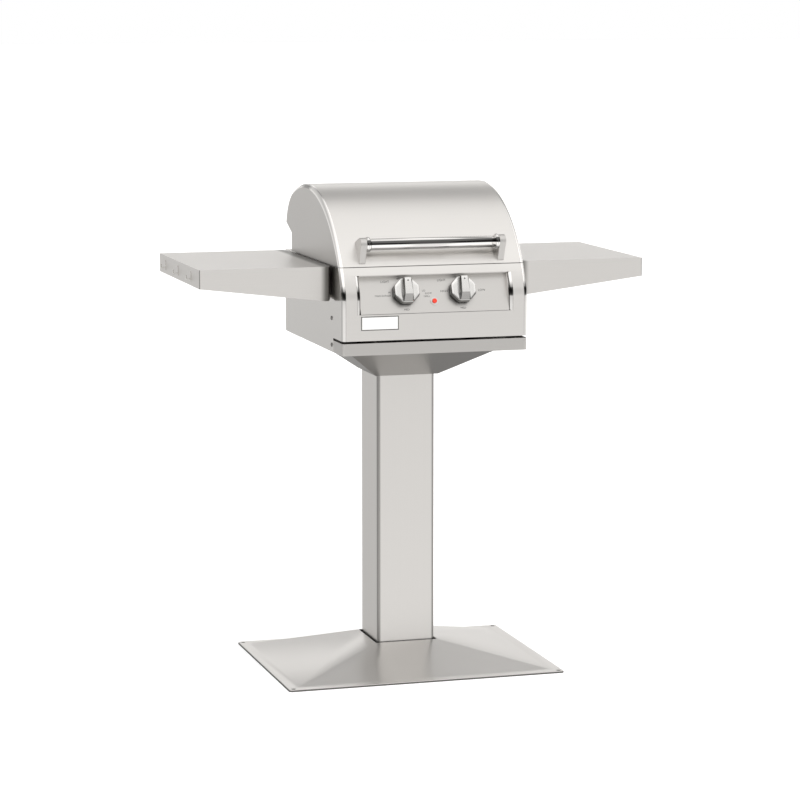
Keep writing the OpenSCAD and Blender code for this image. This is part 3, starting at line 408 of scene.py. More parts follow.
def shelf_sheet(name):
    """Brushed across, with painted dark reflection and shade round the bend beside the firebox and on the
    sharp outer bend.
    """
    finish, tree, shader, tone = brushed_parts(name, "x", (0.79, 0.775, 0.755), 0.36, 0.03)
    place = parts_of(tree, "Object")
    out = math_step(tree, "ABSOLUTE", place["X"])
    forward = math_step(tree, "MULTIPLY", place["Y"], -1)
    # These masks place painted reflection and shade round the bend and along the outer line.
    near_end = share_between(tree, out, (SHELF_IN + 0.2) * MM, (SHELF_IN + 1.6) * MM)
    bend_from, bend_to = SHELF_IN + 0.7 * SHELF_CORNER, SHELF_IN + 1.9 * SHELF_CORNER
    bend = math_step(tree, "SUBTRACT", near_end, share_between(tree, out, bend_from * MM, bend_to * MM))
    at_end = share_between(tree, out, (SHELF_OUT - LINE_IN) * MM, (SHELF_OUT - LINE_OUT) * MM)
    at_front = share_between(tree, forward, (SHELF_FRONT - LINE_IN) * MM, (SHELF_FRONT - LINE_OUT) * MM)
    line = math_step(tree, "MULTIPLY", at_end, at_front)
    shaded = mixed(tree, bend, tone, BEND_PAINTED_SHADE)
    link(tree, mixed(tree, line, shaded, LINE_PAINTED_SHADE), shader.inputs["Base Color"])
    return finish


brushed_shelf = shelf_sheet("brushed_stainless_shelf")
print("shelves darken from", SHELF_IN, "to", SHELF_IN + 1.9 * SHELF_CORNER, "mm")

# %% [markdown]
# ## Polished steel
# The bent edges, the handle and small bright parts are polished until they mirror. In the
# photograph the handle has a dark stripe and each edge a short black mark, where they mirror a
# dark wall. Dark cards in the studio would make them, but the knob panel leans the same way and
# would darken too. So these finishes carry a tone that follows the direction a face looks in,
# seen along the x axis: straight ahead is 0 degrees and straight up is 90. A curve crosses the
# dark directions in a short stretch, which puts each mark in its place.

# %% Build the polished finishes
# The tones below are a painted reflection: the dark stripe and marks of a dark wall, set by direction.
HANDLE_PAINTED_REFLECTION = [
    (-180, 0.9), (-75, 0.85), (-52, 0.36), (-34, 0.34), (-28, 0.82), (-4, 0.85), (2, 0.13), (8, 0.1),
    (37, 0.12), (44, 0.85), (66, 0.95), (82, 0.7), (98, 0.9), (180, 0.9)]
EDGE_PAINTED_REFLECTION = [
    (-180, 0.9), (-90, 1.0), (-6, 1.0), (0, 0.6), (3, 0.2), (7, 0.11), (11, 0.07), (16, 0.06),
    (19, 0.12), (21, 0.5), (22.5, 1.0), (82, 1.0), (86, 0.3), (92, 0.25), (97, 0.9), (180, 0.9)]


def polished(name, colour=(0.90, 0.895, 0.885), roughness=0.07):
    finish, tree, shader = new_finish(name, colour, 1.0, roughness)
    hairlines = noise(tree, 60.0, detail=6.0)
    link(tree, spread(tree, hairlines, roughness - 0.02, roughness + 0.04), shader.inputs["Roughness"])
    scratches(tree, shader, noise(tree, 400.0), 0.02, 0.02 * MM)
    return finish


def painted_reflection_polish(name, stops):
    """Polished, with a painted reflection in its tone that follows the direction a face looks, seen along
    the x axis.
    """
    finish, tree, shader = new_finish(name, (0.9, 0.895, 0.885), 1.0, 0.07)
    facing = parts_of(tree, "Normal")
    lean = math_step(tree, "ARCTAN2", facing["Z"], math_step(tree, "MULTIPLY", facing["Y"], -1))
    share = math_step(tree, "ADD", math_step(tree, "DIVIDE", lean, 2 * math.pi), 0.5)
    tone = ramp(tree, [(0.5 + degrees / 360, value) for degrees, value in stops], "LINEAR")
    link(tree, share, tone.inputs[0])
    link(tree, tone.outputs[0], shader.inputs["Base Color"])
    scratches(tree, shader, noise(tree, 400.0), 0.02, 0.02 * MM)
    return finish


polished_steel = polished("polished_stainless")
handle_steel_painted_reflection = painted_reflection_polish("handle_steel_painted_reflection", HANDLE_PAINTED_REFLECTION)
edge_steel_painted_reflection = painted_reflection_polish("edge_steel_painted_reflection", EDGE_PAINTED_REFLECTION)
print("three polished finishes")

# %% [markdown]
# ## Steel near the fire
# The liner, the burners and the flame tamers are satin steel, and heat has tinted them straw and
# blue. Painted stains would need a map for each part. One soft noise that blends straw, grey and
# blue lies over all of them at once and never repeats.

# %% Tint the hot parts
STRAW, GREY, BLUE = (0.56, 0.5, 0.4, 1), (0.62, 0.61, 0.59, 1), (0.42, 0.42, 0.47, 1)


def heated(name):
    finish, tree, shader = new_finish(name, (0.6, 0.59, 0.57), 1.0, 0.36)
    tint = tree.nodes.new("ShaderNodeValToRGB")
    elements = tint.color_ramp.elements
    elements[0].position, elements[0].color = 0.3, STRAW
    elements[1].position, elements[1].color = 0.72, BLUE
    elements.new(0.5).color = GREY
    link(tree, noise(tree, 9.0, detail=5.0), tint.inputs[0])
    link(tree, tint.outputs[0], shader.inputs["Base Color"])
    link(tree, spread(tree, noise(tree, 120.0), 0.3, 0.48), shader.inputs["Roughness"])
    scratches(tree, shader, noise(tree, 260.0), 0.1)
    return finish


heat_steel = heated("heat_tinted_steel")
print(heat_steel.name, "ready")

# %% [markdown]
# ## Plain, painted and moulded parts
# Brackets, rods and screws are plain drawn steel, the valves are turned brass, the gas pipe is
# painted, and the button and the printed words are plastic and ink. Flat colours would look like
# toys next to the brushed sheet, so each gets a fine grain in its tone, its roughness and its
# surface. Metals and coatings differ only in how they mirror, so one helper serves both.

# %% Build the plain finishes
def grained(name, colour, metallic, roughness, grain, strength, detail, darkest, rough_range):
    """A finish with one fine noise in its tone, roughness and surface."""
    finish, tree, shader = new_finish(name, colour, metallic, roughness)
    fine = noise(tree, grain, detail=detail)
    darker = tuple(darkest * c for c in colour)
    link(tree, mixed(tree, spread(tree, fine, 0, 1), darker, colour), shader.inputs["Base Color"])
    smoother, rougher = rough_range
    link(tree, spread(tree, fine, roughness - smoother, roughness + rougher), shader.inputs["Roughness"])
    scratches(tree, shader, fine, strength)
    return finish


def plain_metal(name, colour, roughness, grain=140.0, strength=0.12):
    return grained(name, colour, 1.0, roughness, grain, strength, 4.0, 0.9, (0.06, 0.08))


def coated(name, colour, roughness, grain=300.0, strength=0.1):
    return grained(name, colour, 0.0, roughness, grain, strength, 3.0, 0.88, (0.05, 0.07))


bracket_steel = plain_metal("bracket_steel", (0.55, 0.55, 0.54), 0.4)
wire_steel = plain_metal("bright_wire", (0.74, 0.73, 0.71), 0.22, 220.0)
fastener_steel = plain_metal("fastener_steel", (0.5, 0.5, 0.49), 0.32)
valve_brass = plain_metal("valve_brass", (0.72, 0.56, 0.27), 0.24, 500.0)
dark_edge = plain_metal("dark_plate_edge", (0.16, 0.155, 0.15), 0.45)
screw_steel = plain_metal("dark_screw_steel", (0.25, 0.245, 0.24), 0.3, 400.0)
pipe_paint = coated("pipe_paint", (0.33, 0.33, 0.32), 0.42)
badge_white = coated("badge_white", (0.95, 0.95, 0.94), 0.3, 4.0, 0.0)
black_plastic = coated("black_plastic", (0.03, 0.03, 0.03), 0.3)
red_plastic = coated("red_plastic", (0.9, 0.05, 0.02), 0.28)
dial_ink = coated("dial_ink", (0.05, 0.05, 0.05), 0.5)
print(len(bpy.data.materials), "finishes in all")

# %% [markdown]
# ## Dressing the CAD pieces
# Every CAD node keeps its shape, so it only needs its finish and softer edges. Sharp CAD edges
# look false, because a real fold or cut always catches a thin line of light. The corners could be
# rounded in the mesh itself, but modifiers leave it alone: a weld joins its loose corners, a
# dissolve takes away the seams inside flat faces, and a bevel rounds the sharp edges a little.

# %% Choose each piece's finish and edge
BY_SLOT = {
    "brushed_stainless": brushed_across,
    "polished_stainless": polished_steel,
    "bracket_steel": bracket_steel,
    "heat_steel": heat_steel,
    "bright_wire": wire_steel,
    "fastener_steel": fastener_steel,
    "gas_pipe_steel": pipe_paint,
    "valve_brass": valve_brass,
    "igniter_black": black_plastic,
    "igniter_red": red_plastic,
}
BY_PIECE = {
    "post_tube": brushed_upright,
    "firebox_left_side": brushed_deep_painted_shade,
    "firebox_right_side": brushed_deep_painted_shade,
    "lid_left_cap": brushed_cap_painted_shade,
    "lid_right_cap": brushed_cap_painted_shade,
    "tray_front": brushed_band_painted_shade,
    "left_shelf": brushed_shelf,
    "right_shelf": brushed_shelf,
    "flare_cover": brushed_under_painted_shade,
    "base_plate": dark_edge,
    "badge_plate": badge_white,
    "handle_bar": handle_steel_painted_reflection,
    "igniter_housing": brushed_across,
    "knob_panel": brushed_panel_painted_shade,
}
USUAL_EDGE = 0.35
EDGE_OF = {
    "left_shelf": 0.7,
    "right_shelf": 0.7,
    "igniter_button": 1.0,
    "handle_brackets": 1.6,
    "badge_plate": 0.3,
    "post_foot_bolts": 0.5,
}
ROUND_ALREADY = (
    "handle_bar", "gas_pipe", "panel_trims", "recess_trims", "lid_trims", "left_knob", "right_knob",
    "left_burner", "right_burner", "hinge_pins", "shelf_rods")
print(len(BY_PIECE), "pieces with a finish of their own,", len(ROUND_ALREADY), "without a bevel")

# %% Soften and dress them
SEAM_WITHIN = 0.01 * MM
FLAT_WITHIN = math.radians(0.3)


def bevel(piece, label, width_mm, segments, angle):
    """Rounds the edges that are sharper than an angle in degrees."""
    made = piece.modifiers.new(label, "BEVEL")
    made.width = width_mm * MM
    made.segments = segments
    made.limit_method = "ANGLE"
    made.angle_limit = math.radians(angle)
    return made


def soften(piece, width_mm):
    weld = piece.modifiers.new("weld", "WELD")
    weld.merge_threshold = SEAM_WITHIN
    flat = piece.modifiers.new("flat", "DECIMATE")
    flat.decimate_type = "DISSOLVE"
    flat.angle_limit = FLAT_WITHIN
    if width_mm:
        bevel(piece, "edge", width_mm, 2, 32)
    for face in piece.data.polygons:
        face.use_smooth = True
    even = piece.modifiers.new("even", "WEIGHTED_NORMAL")
    even.keep_sharp = True


for part in frame["record"]["subparts"]:
    piece = nodes[part["node"]]
    piece.data.materials.clear()
    piece.data.materials.append(BY_PIECE.get(part["node"], BY_SLOT[part["material_slot"]]))
    soften(piece, 0 if part["node"] in ROUND_ALREADY else EDGE_OF.get(part["node"], USUAL_EDGE))

# %% [markdown]
# ## Polished quarter-round edges
# The lid, the front sheet and the recess all end in a narrow polished bend. The CAD model has them
# as turned rings cut to length. A cleaner way for the eye is to sweep one quarter-round section
# along the side outline of the grill, because then every facet follows the curve and the long
# reflections run without a break. The outline is the CAD model's: an upright front, a bend, the
# hood's great arc and a tighter arc behind it.

# %% Lay out the side outline
ARC_Y, ARC_Z, ARC_R = 12, 772, 321
FACE_Y, BEND_R = -293, 60
BEND_Y = FACE_Y + BEND_R
BEND_Z = ARC_Z + math.sqrt((ARC_R - BEND_R) ** 2 - (ARC_Y - BEND_Y) ** 2)
BEND_TURN = 180 - math.degrees(math.atan2(BEND_Z - ARC_Z, ARC_Y - BEND_Y))
JOIN_Y, REAR_OUT = 135, 199
JOIN_TURN = math.degrees(math.acos((JOIN_Y - ARC_Y) / ARC_R))
JOIN_COS, JOIN_SIN = math.cos(math.radians(JOIN_TURN)), math.sin(math.radians(JOIN_TURN))
REAR_R = (REAR_OUT - ARC_Y - ARC_R * JOIN_COS) / (1 - JOIN_COS)
REAR_C = (ARC_Y + (ARC_R - REAR_R) * JOIN_COS, ARC_Z + (ARC_R - REAR_R) * JOIN_SIN)
TRIM_R, SHEET = 8.5, 1.5


def arc_path(centre, radius, turn0, turn1, steps):
    """Points and outward directions along an arc seen from the side, as (depth, height) pairs."""
    path = []
    for i in range(steps + 1):
        t = math.radians(turn0 + (turn1 - turn0) * i / steps)
        ny, nz = math.cos(t), math.sin(t)
        path.append(((centre[0] + radius * ny, centre[1] + radius * nz), (ny, nz)))
    return path


def quarter_section(x_mid, side, steps=10):
    """Outer and inner quarter-round, as (x, distance under the outer surface), all in millimetres."""
    outer, inner = [], []
    for i in range(steps + 1):
        t = math.radians(90 * i / steps)
        for ring, r in ((outer, TRIM_R), (inner, TRIM_R - SHEET)):
            ring.append((x_mid + side * r * math.sin(t), TRIM_R - r * math.cos(t)))
    return outer + inner[::-1]


print("bend at", round(BEND_Z, 1), "mm, rear arc of", round(REAR_R, 1), "mm")

# %% Sweep a section along a path
def wall(made, one, other):
    """Faces between two closed rings of equal count."""
    count = len(one)
    for i in range(count):
        made.faces.new((one[i], one[(i + 1) % count], other[(i + 1) % count], other[i]))


def sweep(path, section):
    made = bmesh.new()
    rings = []
    for (y, z), (ny, nz) in path:
        spots = [(x, y - under * ny, z - under * nz) for x, under in section]
        rings.append([made.verts.new((x * MM, y * MM, z * MM)) for x, y, z in spots])
    for one, other in zip(rings, rings[1:]):
        wall(made, one, other)
    made.faces.new(rings[0])
    made.faces.new(rings[-1][::-1])
    bmesh.ops.recalc_face_normals(made, faces=made.faces)
    return made


print("sweep ready")

# %% Cut mesh data and make a piece of it
def cut_off(made, point_mm, normal):
    """Cuts away what lies on the normal's side of a plane, and closes the cut."""
    everything = made.verts[:] + made.edges[:] + made.faces[:]
    cut = bmesh.ops.bisect_plane(
        made, geom=everything, plane_co=Vector(point_mm) * MM, plane_no=normal, clear_outer=True)
    rim = [e for e in cut["geom_cut"] if isinstance(e, bmesh.types.BMEdge)]
    bmesh.ops.holes_fill(made, edges=rim)
    bmesh.ops.recalc_face_normals(made, faces=made.faces)


def add_piece(name, made, finish, body, smooth=30):
    """Turns built mesh data, or a list of it, into a piece that rides on a body."""
    mesh = bpy.data.meshes.new(name)
    if isinstance(made, list):
        whole = bmesh.new()
        for part in made:
            scratch = bpy.data.meshes.new("scratch")
            part.to_mesh(scratch)
            whole.from_mesh(scratch)
            bpy.data.meshes.remove(scratch)
        made = whole
    made.to_mesh(mesh)
    mesh.materials.append(finish)
    for face in mesh.polygons:
        face.use_smooth = True
    mesh.set_sharp_from_angle(angle=math.radians(smooth))
    piece = bpy.data.objects.new(name, mesh)
    scene.collection.objects.link(piece)
    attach(piece, body)
    return piece


def faces_of(*pieces):
    return sum(len(p.data.polygons) for p in pieces)


print("cut and piece ready")

# %% Bend the lid, panel and recess edges
HALF_W, SEAM_Z, LID_BOTTOM_Z, PANEL_Z = 210, 931, 932.2, 774.5
RECESS_X, RECESS_Z, LIP_Z = 168, 831, 914
NOTCH_Y, NOTCH_Z, NOTCH_SLOPE = 140.5, 974, 25 / 58.5
SKIN_X = HALF_W - TRIM_R
START_Z = PANEL_Z - 20
UP, DOWN = (0, 0, 1), (0, 0, -1)


def front_path():
    """From below the panel up the front, round the bend and a stretch along the hood's arc."""
    upright = [((FACE_Y, START_Z + (BEND_Z - START_Z) * i / 6), (-1, 0)) for i in range(6)]
    bend = arc_path((BEND_Y, BEND_Z), BEND_R, 180, BEND_TURN, 14)[:-1]
    return upright + bend + arc_path((ARC_Y, ARC_Z), ARC_R, BEND_TURN, 145, 14)


def between(made, low, high):
    """Keeps what lies between two heights."""
    cut_off(made, (0, 0, low), DOWN)
    cut_off(made, (0, 0, high), UP)
    return made


def front_edge(x_mid, side, low, high):
    return between(sweep(front_path(), quarter_section(x_mid, side)), low, high)


def lid_edge(side):
    hood = arc_path((ARC_Y, ARC_Z), ARC_R, 156, JOIN_TURN, 72)[:-1]
    made = sweep(hood + arc_path(REAR_C, REAR_R, JOIN_TURN, 2, 24), quarter_section(side * SKIN_X, side))
    cut_off(made, (0, 0, LID_BOTTOM_Z), DOWN)
    cut_off(made, (0, NOTCH_Y, NOTCH_Z), (0, NOTCH_SLOPE, -1))
    return made


lid_edges = add_piece(
    "lid_polished_edges", [lid_edge(s) for s in (-1, 1)], edge_steel_painted_reflection, "lid")
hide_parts("lid_trims")
panel_edges = add_piece(
    "panel_polished_edges", [front_edge(s * SKIN_X, s, PANEL_Z, SEAM_Z) for s in (-1, 1)],
    edge_steel_painted_reflection, "stand")
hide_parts("panel_trims")
recess_edges = add_piece(
    "recess_polished_edges",
    [front_edge(s * (RECESS_X + TRIM_R), -s, RECESS_Z, LIP_Z) for s in (-1, 1)],
    edge_steel_painted_reflection, "stand")
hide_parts("recess_trims")
print("polished edges:", faces_of(lid_edges, panel_edges, recess_edges), "faces")

# %% [markdown]
# ## The recess's cheeks
# Inside each polished edge of the recess the sheet runs on inwards to the leaning knob panel.
# Without it a dark slot shows beside the panel. A flat plate would cut across the bend, so a thin
# strip is swept along the same outline as the edge in front of it.

# %% Close the recess at its sides
CHEEK_FROM, CHEEK_TO = TRIM_R - 0.6, 19


def cheek_strip(side):
    """A strip of sheet that runs in from the recess's edge to the knob panel and closes the corner."""
    x_in, x_out = side * RECESS_X, side * (RECESS_X + SHEET)
    section = [(x_in, CHEEK_FROM), (x_out, CHEEK_FROM), (x_out, CHEEK_TO), (x_in, CHEEK_TO)]
    return between(sweep(front_path(), section), RECESS_Z, LIP_Z)


cheek_strips = add_piece(
    "recess_cheek_strips", [cheek_strip(s) for s in (-1, 1)], brushed_deep_painted_shade, "stand")
print("cheek strips:", faces_of(cheek_strips), "faces")

# %% [markdown]
# ## The two dials
# A cast dial is an eight-sided skirt with a raised grip across it. The grip's flanks are hollowed
# for finger and thumb, its lower end slopes off, and a small black pointer marks its upper end.
# Boxes joined together would look like the CAD stand-in, so the skirt is built ring by ring from
# an eight-sided outline with rounded corners, and the grip from cross-sections with hollow sides.

# %% Find the leaning panel
KNOB_FOOT_Y, TILT = FACE_Y + SHEET, math.radians(23)
KNOB_X, KNOB_V = 64, 47.8
PANEL_FRAME = Matrix((
    (1, 0, 0, 0),
    (0, math.sin(TILT), -math.cos(TILT), KNOB_FOOT_Y * MM),
    (0, math.cos(TILT), math.sin(TILT), RECESS_Z * MM),
    (0, 0, 0, 1),
))


def on_panel(made, x, v):
    """Moves mesh data from (across, up the panel, out of the panel) to its place on the leaning panel."""
    spot = Matrix.Translation((x * MM, v * MM, 0))
    bmesh.ops.transform(made, matrix=PANEL_FRAME @ spot, verts=made.verts)
    return made


print("panel leans", round(math.degrees(TILT)), "degrees")

# %% Cast the skirt
SKIRT_FLAT, SKIRT_CORNER = 27.7, 29.4
SKIRT_LEVELS = (
    (0.985, 4), (1, 4.8), (1, 16.4), (0.992, 17.3), (0.972, 18.0), (0.94, 18.4),
    (0.8, 18.9), (0.6, 18.8), (0.3, 18.6))


def eight_sided(flat_r, corner_r, per_side=6):
    """An eight-sided outline with its corners rounded to corner_r from the centre."""
    points = []
    for i in range(8 * per_side):
        t = 2 * math.pi * i / (8 * per_side)
        off = (t + math.pi / 8) % (math.pi / 4) - math.pi / 8
        r = min(flat_r / math.cos(off), corner_r)
        points.append((r * math.cos(t), r * math.sin(t)))
    return points


def stacked(levels):
    """Joins outlines of equal count at given heights into a closed form."""
    made = bmesh.new()
    rings = [[made.verts.new((x * MM, y * MM, z * MM)) for x, y in outline] for outline, z in levels]
    for one, other in zip(rings, rings[1:]):
        wall(made, one, other)
    made.faces.new(rings[0][::-1])
    made.faces.new(rings[-1])
    return made


def dial_skirt():
    """Share of the rim and height out of the panel, level by level."""
    rim = eight_sided(SKIRT_FLAT, SKIRT_CORNER)
    return stacked([([(x * share, y * share) for x, y in rim], z) for share, z in SKIRT_LEVELS])


print("skirt of", 2 * SKIRT_FLAT, "mm across its flats")

# %% Cast the grip and its pointer
GRIP_FOOT, GRIP_FOOT_HALF, GRIP_TOP = 18, 14.4, 33
FLANK_CURVE, FLANK_HOLLOW, TOP_BEVEL = 2.6, 0.9, 0.8
GRIP_SECTIONS = (
    (-25, 20.5, 9.6), (-20, 25.2, 9.4), (-13.4, 31.8, 9.0), (-12, 32.8, 8.9), (-10, GRIP_TOP, 8.8),
    (0, GRIP_TOP, 8.2), (12, GRIP_TOP, 7.6), (22, GRIP_TOP, 7.2), (24.2, 32.8, 7.0), (25, 32, 6.6))
POINTER = [(-2.2, 16.6), (2.2, 16.6), (0, 20.6)]


def flank(top, half, steps=8):
    """One side of a cross-section, from the grip's top down to its foot."""
    side = []
    for k in range(steps + 1):
        t = k / steps
        hollow = FLANK_HOLLOW * math.sin(math.pi * t) * (top - GRIP_FOOT) / (GRIP_TOP - GRIP_FOOT)
        out = half + (GRIP_FOOT_HALF - half) * t ** FLANK_CURVE - hollow
        side.append((out, top - (top - GRIP_FOOT) * t))
    return side


def dial_grip():
    """Cross-sections up the grip, each with a flat top and hollow flanks."""
    made = bmesh.new()
    rings = []
    for v, top, half in GRIP_SECTIONS:
        side = flank(top, half)
        flat_top = [(half - TOP_BEVEL, top), (TOP_BEVEL - half, top)]
        section = side[::-1] + flat_top + [(-x, z) for x, z in side]
        rings.append([made.verts.new((x * MM, v * MM, z * MM)) for x, z in section])
    for one, other in zip(rings, rings[1:]):
        wall(made, one, other)
    made.faces.new(rings[0][::-1])
    made.faces.new(rings[-1])
    bmesh.ops.recalc_face_normals(made, faces=made.faces)
    return made


def pointer_mark():
    """A small filled triangle lying just proud of the grip's top."""
    made = stacked([(POINTER, GRIP_TOP - 0.05), (POINTER, GRIP_TOP + 0.08)])
    bmesh.ops.recalc_face_normals(made, faces=made.faces)
    return made


print("grip of", len(GRIP_SECTIONS), "sections")

# %% [markdown]
# ## Polish and painted shade on the dials
# A polished dial is bright where it looks out of the panel and dark on its flanks and low end,
# which mirror the gap and lie in shade. The shaded parts could be painted by hand, but they are
# just the faces that look sideways or down the panel, so the painted shade is blended by how far
# each face looks out of the panel, and it turns with the dial.

# %% Polish the dials and set them on the panel
# The two darker tones are painted shade for the dial's flanks and its low end.
DIAL_BRIGHT, DIAL_PAINTED_SHADE, DIAL_LOW_PAINTED_SHADE = (0.84, 0.835, 0.82), (0.085, 0.083, 0.079), (0.2, 0.196, 0.19)


def toward(tree, direction):
    """How far a face looks along a direction of the panel, from -1 to 1."""
    facing = tree.nodes.new("ShaderNodeVectorMath")
    facing.operation = "DOT_PRODUCT"
    facing.inputs[1].default_value = PANEL_FRAME.to_3x3() @ Vector(direction)
    where = tree.nodes.new("ShaderNodeTexCoord")
    link(tree, where.outputs["Normal"], facing.inputs[0])
    return facing.outputs["Value"]


def dial_finish(name):
    """Bright on faces that look out of the panel, with painted shade on the flanks and the low end."""
    finish, tree, shader = new_finish(name, (0.82, 0.815, 0.80), 1.0, 0.14)
    outward = share_between(tree, toward(tree, (0, 0, 1)), 0.2, 0.9)
    wear_and_shade = mixed(tree, outward, DIAL_PAINTED_SHADE, DIAL_BRIGHT)
    low_end_shade = math_step(tree, "MULTIPLY", share_between(tree, toward(tree, (0, -1, 0)), 0.12, 0.5), 0.6)
    link(tree, mixed(tree, low_end_shade, wear_and_shade, DIAL_LOW_PAINTED_SHADE), shader.inputs["Base Color"])
    link(tree, spread(tree, noise(tree, 90.0), 0.12, 0.2), shader.inputs["Roughness"])
    scratches(tree, shader, noise(tree, 500.0), 0.03, 0.02 * MM)
    return finish


dial_steel = dial_finish("dial_steel")
for side, x in (("left", -KNOB_X), ("right", KNOB_X)):
    cast = [on_panel(made, x, KNOB_V) for made in (dial_skirt(), dial_grip())]
    dial = add_piece(f"{side}_dial", cast, dial_steel, f"{side}_knob", 26)
    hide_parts(f"{side}_knob")
    bevel(dial, "edge", 0.6, 2, 28)
    mark = on_panel(pointer_mark(), x, KNOB_V)
    add_piece(f"{side}_pointer", mark, dial_ink, f"{side}_knob")
    print(dial.name, len(dial.data.polygons), "faces")

# %% [markdown]
# ## Words round the dials
# Each dial has a few small printed words. They are general words that any such dial carries. Ink
# could be painted in the panel's material, but letters cut as very thin solids stay sharp from
# any distance and keep their place when the model is exported.

# %% Cut the letters
INK_PROUD = 0.06


def word(text, x, v, size, align="CENTER"):
    """Thin solid letters at a place across and up the leaning panel."""
    line = bpy.data.curves.new("word", "FONT")
    line.body = text
    line.size = size * MM
    line.align_x = align
    line.align_y = "CENTER"
    line.resolution_u = 2
    line.extrude = INK_PROUD * MM
    holder = bpy.data.objects.new("word", line)
    scene.collection.objects.link(holder)
    bpy.context.view_layer.update()
    shown = holder.evaluated_get(bpy.context.evaluated_depsgraph_get())
    mesh = bpy.data.meshes.new_from_object(shown)
    made = bmesh.new()
    made.from_mesh(mesh)
    bpy.data.objects.remove(holder)
    bpy.data.meshes.remove(mesh)
    return on_panel(made, x, v)


print("letters stand", INK_PROUD, "mm proud")

# %% Print the words
BOTH_DIALS = [("LIGHT", -33, 73, 7, "RIGHT"), ("OFF", -8, 79, 4.6, "RIGHT"), ("MED", 0, 9, 6.2, "CENTER")]
WORDS = {
    "left": [
        ("HI", -32, 48.6, 6, "RIGHT"), ("MAIN BURNER", -32, 41.4, 5.6, "RIGHT"),
        ("LO", 38.5, 50.6, 6, "LEFT"), ("SLOW", 44.5, 44.2, 5.6, "LEFT"), ("GRILL", 41, 37.8, 5.6, "LEFT")],
    "right": [("HIGH", -31, 48, 7, "RIGHT"), ("LOW", 38, 48, 7, "LEFT")],
}
for side, x in (("left", -KNOB_X), ("right", KNOB_X)):
    lines = BOTH_DIALS + WORDS[side]
    words = [word(text, x + dx, v, size, align) for text, dx, v, size, align in lines]
    printed = add_piece(f"{side}_dial_words", words, dial_ink, "stand")
    print(printed.name, len(lines), "words")

# %% [markdown]
# ## Screw heads
# Small turned parts tell the eye how large the grill is. Screw heads could be plain discs, as in
# the CAD model, but a real head is domed and has a cross pressed into it, and that cross catches
# the light. Each head here is a fine disc of points whose height follows the dome and drops
# inside the cross. A short shank carries it into the side sheet.

# %% Shape a domed head with a cross
def around_axis(radius, count):
    """Points of a circle about z, in millimetres."""
    return [(radius * math.cos(2 * math.pi * k / count), radius * math.sin(2 * math.pi * k / count))
            for k in range(count)]


def heights_disc(radius, height_at, rings=16, count=48):
    """A closed disc about z whose upper side follows height_at(x, y); sizes in millimetres."""
    made = bmesh.new()
    middle = made.verts.new((0, 0, height_at(0, 0) * MM))
    top = []
    for i in range(1, rings + 1):
        circle = around_axis(radius * i / rings, count)
        top.append([made.verts.new((x * MM, y * MM, height_at(x, y) * MM)) for x, y in circle])
    foot = [made.verts.new((v.co.x, v.co.y, 0)) for v in top[-1]]
    for k in range(count):
        after = (k + 1) % count
        made.faces.new((middle, top[0][k], top[0][after]))
        for one, other in zip(top, top[1:] + [foot]):
            made.faces.new((one[k], other[k], other[after], one[after]))
    made.faces.new(foot[::-1])
    return made


def cross_head(radius, rise, arm=0.62, arm_half=0.14, deep=0.55):
    """A domed head with a cross recess."""
    def height_at(x, y):
        share = min(1, math.hypot(x, y) / radius)
        dome = 0.35 * rise + 0.65 * rise * math.sqrt(max(0, 1 - share ** 2))
        u, v = sorted((abs(x), abs(y)))
        in_cross = u < arm_half * radius and v < arm * radius
        return dome - (deep * rise * (1 - v / (arm * radius)) ** 0.4 if in_cross else 0)
    return heights_disc(radius, height_at)


print("a head has", len(cross_head(4, 2).faces), "faces")

# %% Turn a profile and stand it in its place
def turned(profile, count=64):
    """A closed form turned about z from (radius, height) pairs that begin and end on the axis."""
    made = bmesh.new()
    rings = []
    for r, z in profile:
        circle = around_axis(r, count) if r else [(0, 0)]
        rings.append([made.verts.new((x * MM, y * MM, z * MM)) for x, y in circle])
    for one, other in zip(rings, rings[1:]):
        for k in range(count):
            near = [one[k % len(one)], one[(k + 1) % len(one)]]
            far = [other[(k + 1) % len(other)], other[k % len(other)]]
            made.faces.new(list(dict.fromkeys(near + far)))
    bmesh.ops.recalc_face_normals(made, faces=made.faces)
    return made


def placed(made, place, out, turn=0):
    """Stands mesh data built about z at a place in millimetres, with z along out."""
    lean = Vector(out).to_track_quat("Z", "Y").to_matrix().to_4x4()
    spin = Matrix.Rotation(math.radians(turn), 4, "Z")
    bmesh.ops.transform(made, matrix=Matrix.Translation(Vector(place) * MM) @ lean @ spin, verts=made.verts)
    return made


print("a pin has", len(turned([(0, 0), (1, 0), (0, 1)]).faces), "faces")

# %% Drive the side screws
SCREW_Y, SCREW_HEIGHTS = -205, (758.5, 817)
HEAD_R, HEAD_RISE = 4.5, 2.2
SHANK = [(0, -0.2), (2, -0.2), (2, 5.4), (1.4, 6), (0, 6)]

heads = []
for side in (-1, 1):
    for z in SCREW_HEIGHTS:
        spot = (side * HALF_W, SCREW_Y, z)
        heads.append(placed(cross_head(HEAD_R, HEAD_RISE), spot, (side, 0, 0), 20 + 30 * side))
        heads.append(placed(turned(SHANK), spot, (-side, 0, 0)))
side_heads = add_piece("side_screw_heads", heads, screw_steel, "stand", 40)
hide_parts("side_screws")
print("screw heads", faces_of(side_heads), "faces")

# %% [markdown]
# ## The handle's collars and arms
# The tube handle ends in two turned beads and sits on two cast arms. The beads could be plain
# rings, but a rounded profile turned about the bar's axis gives the small bright and dark crescents
# of the real ones. Each arm hugs the curved hood with its foot and narrows to a round nose about
# the bar, so its side outline follows the hood's arc exactly and is then given its width.

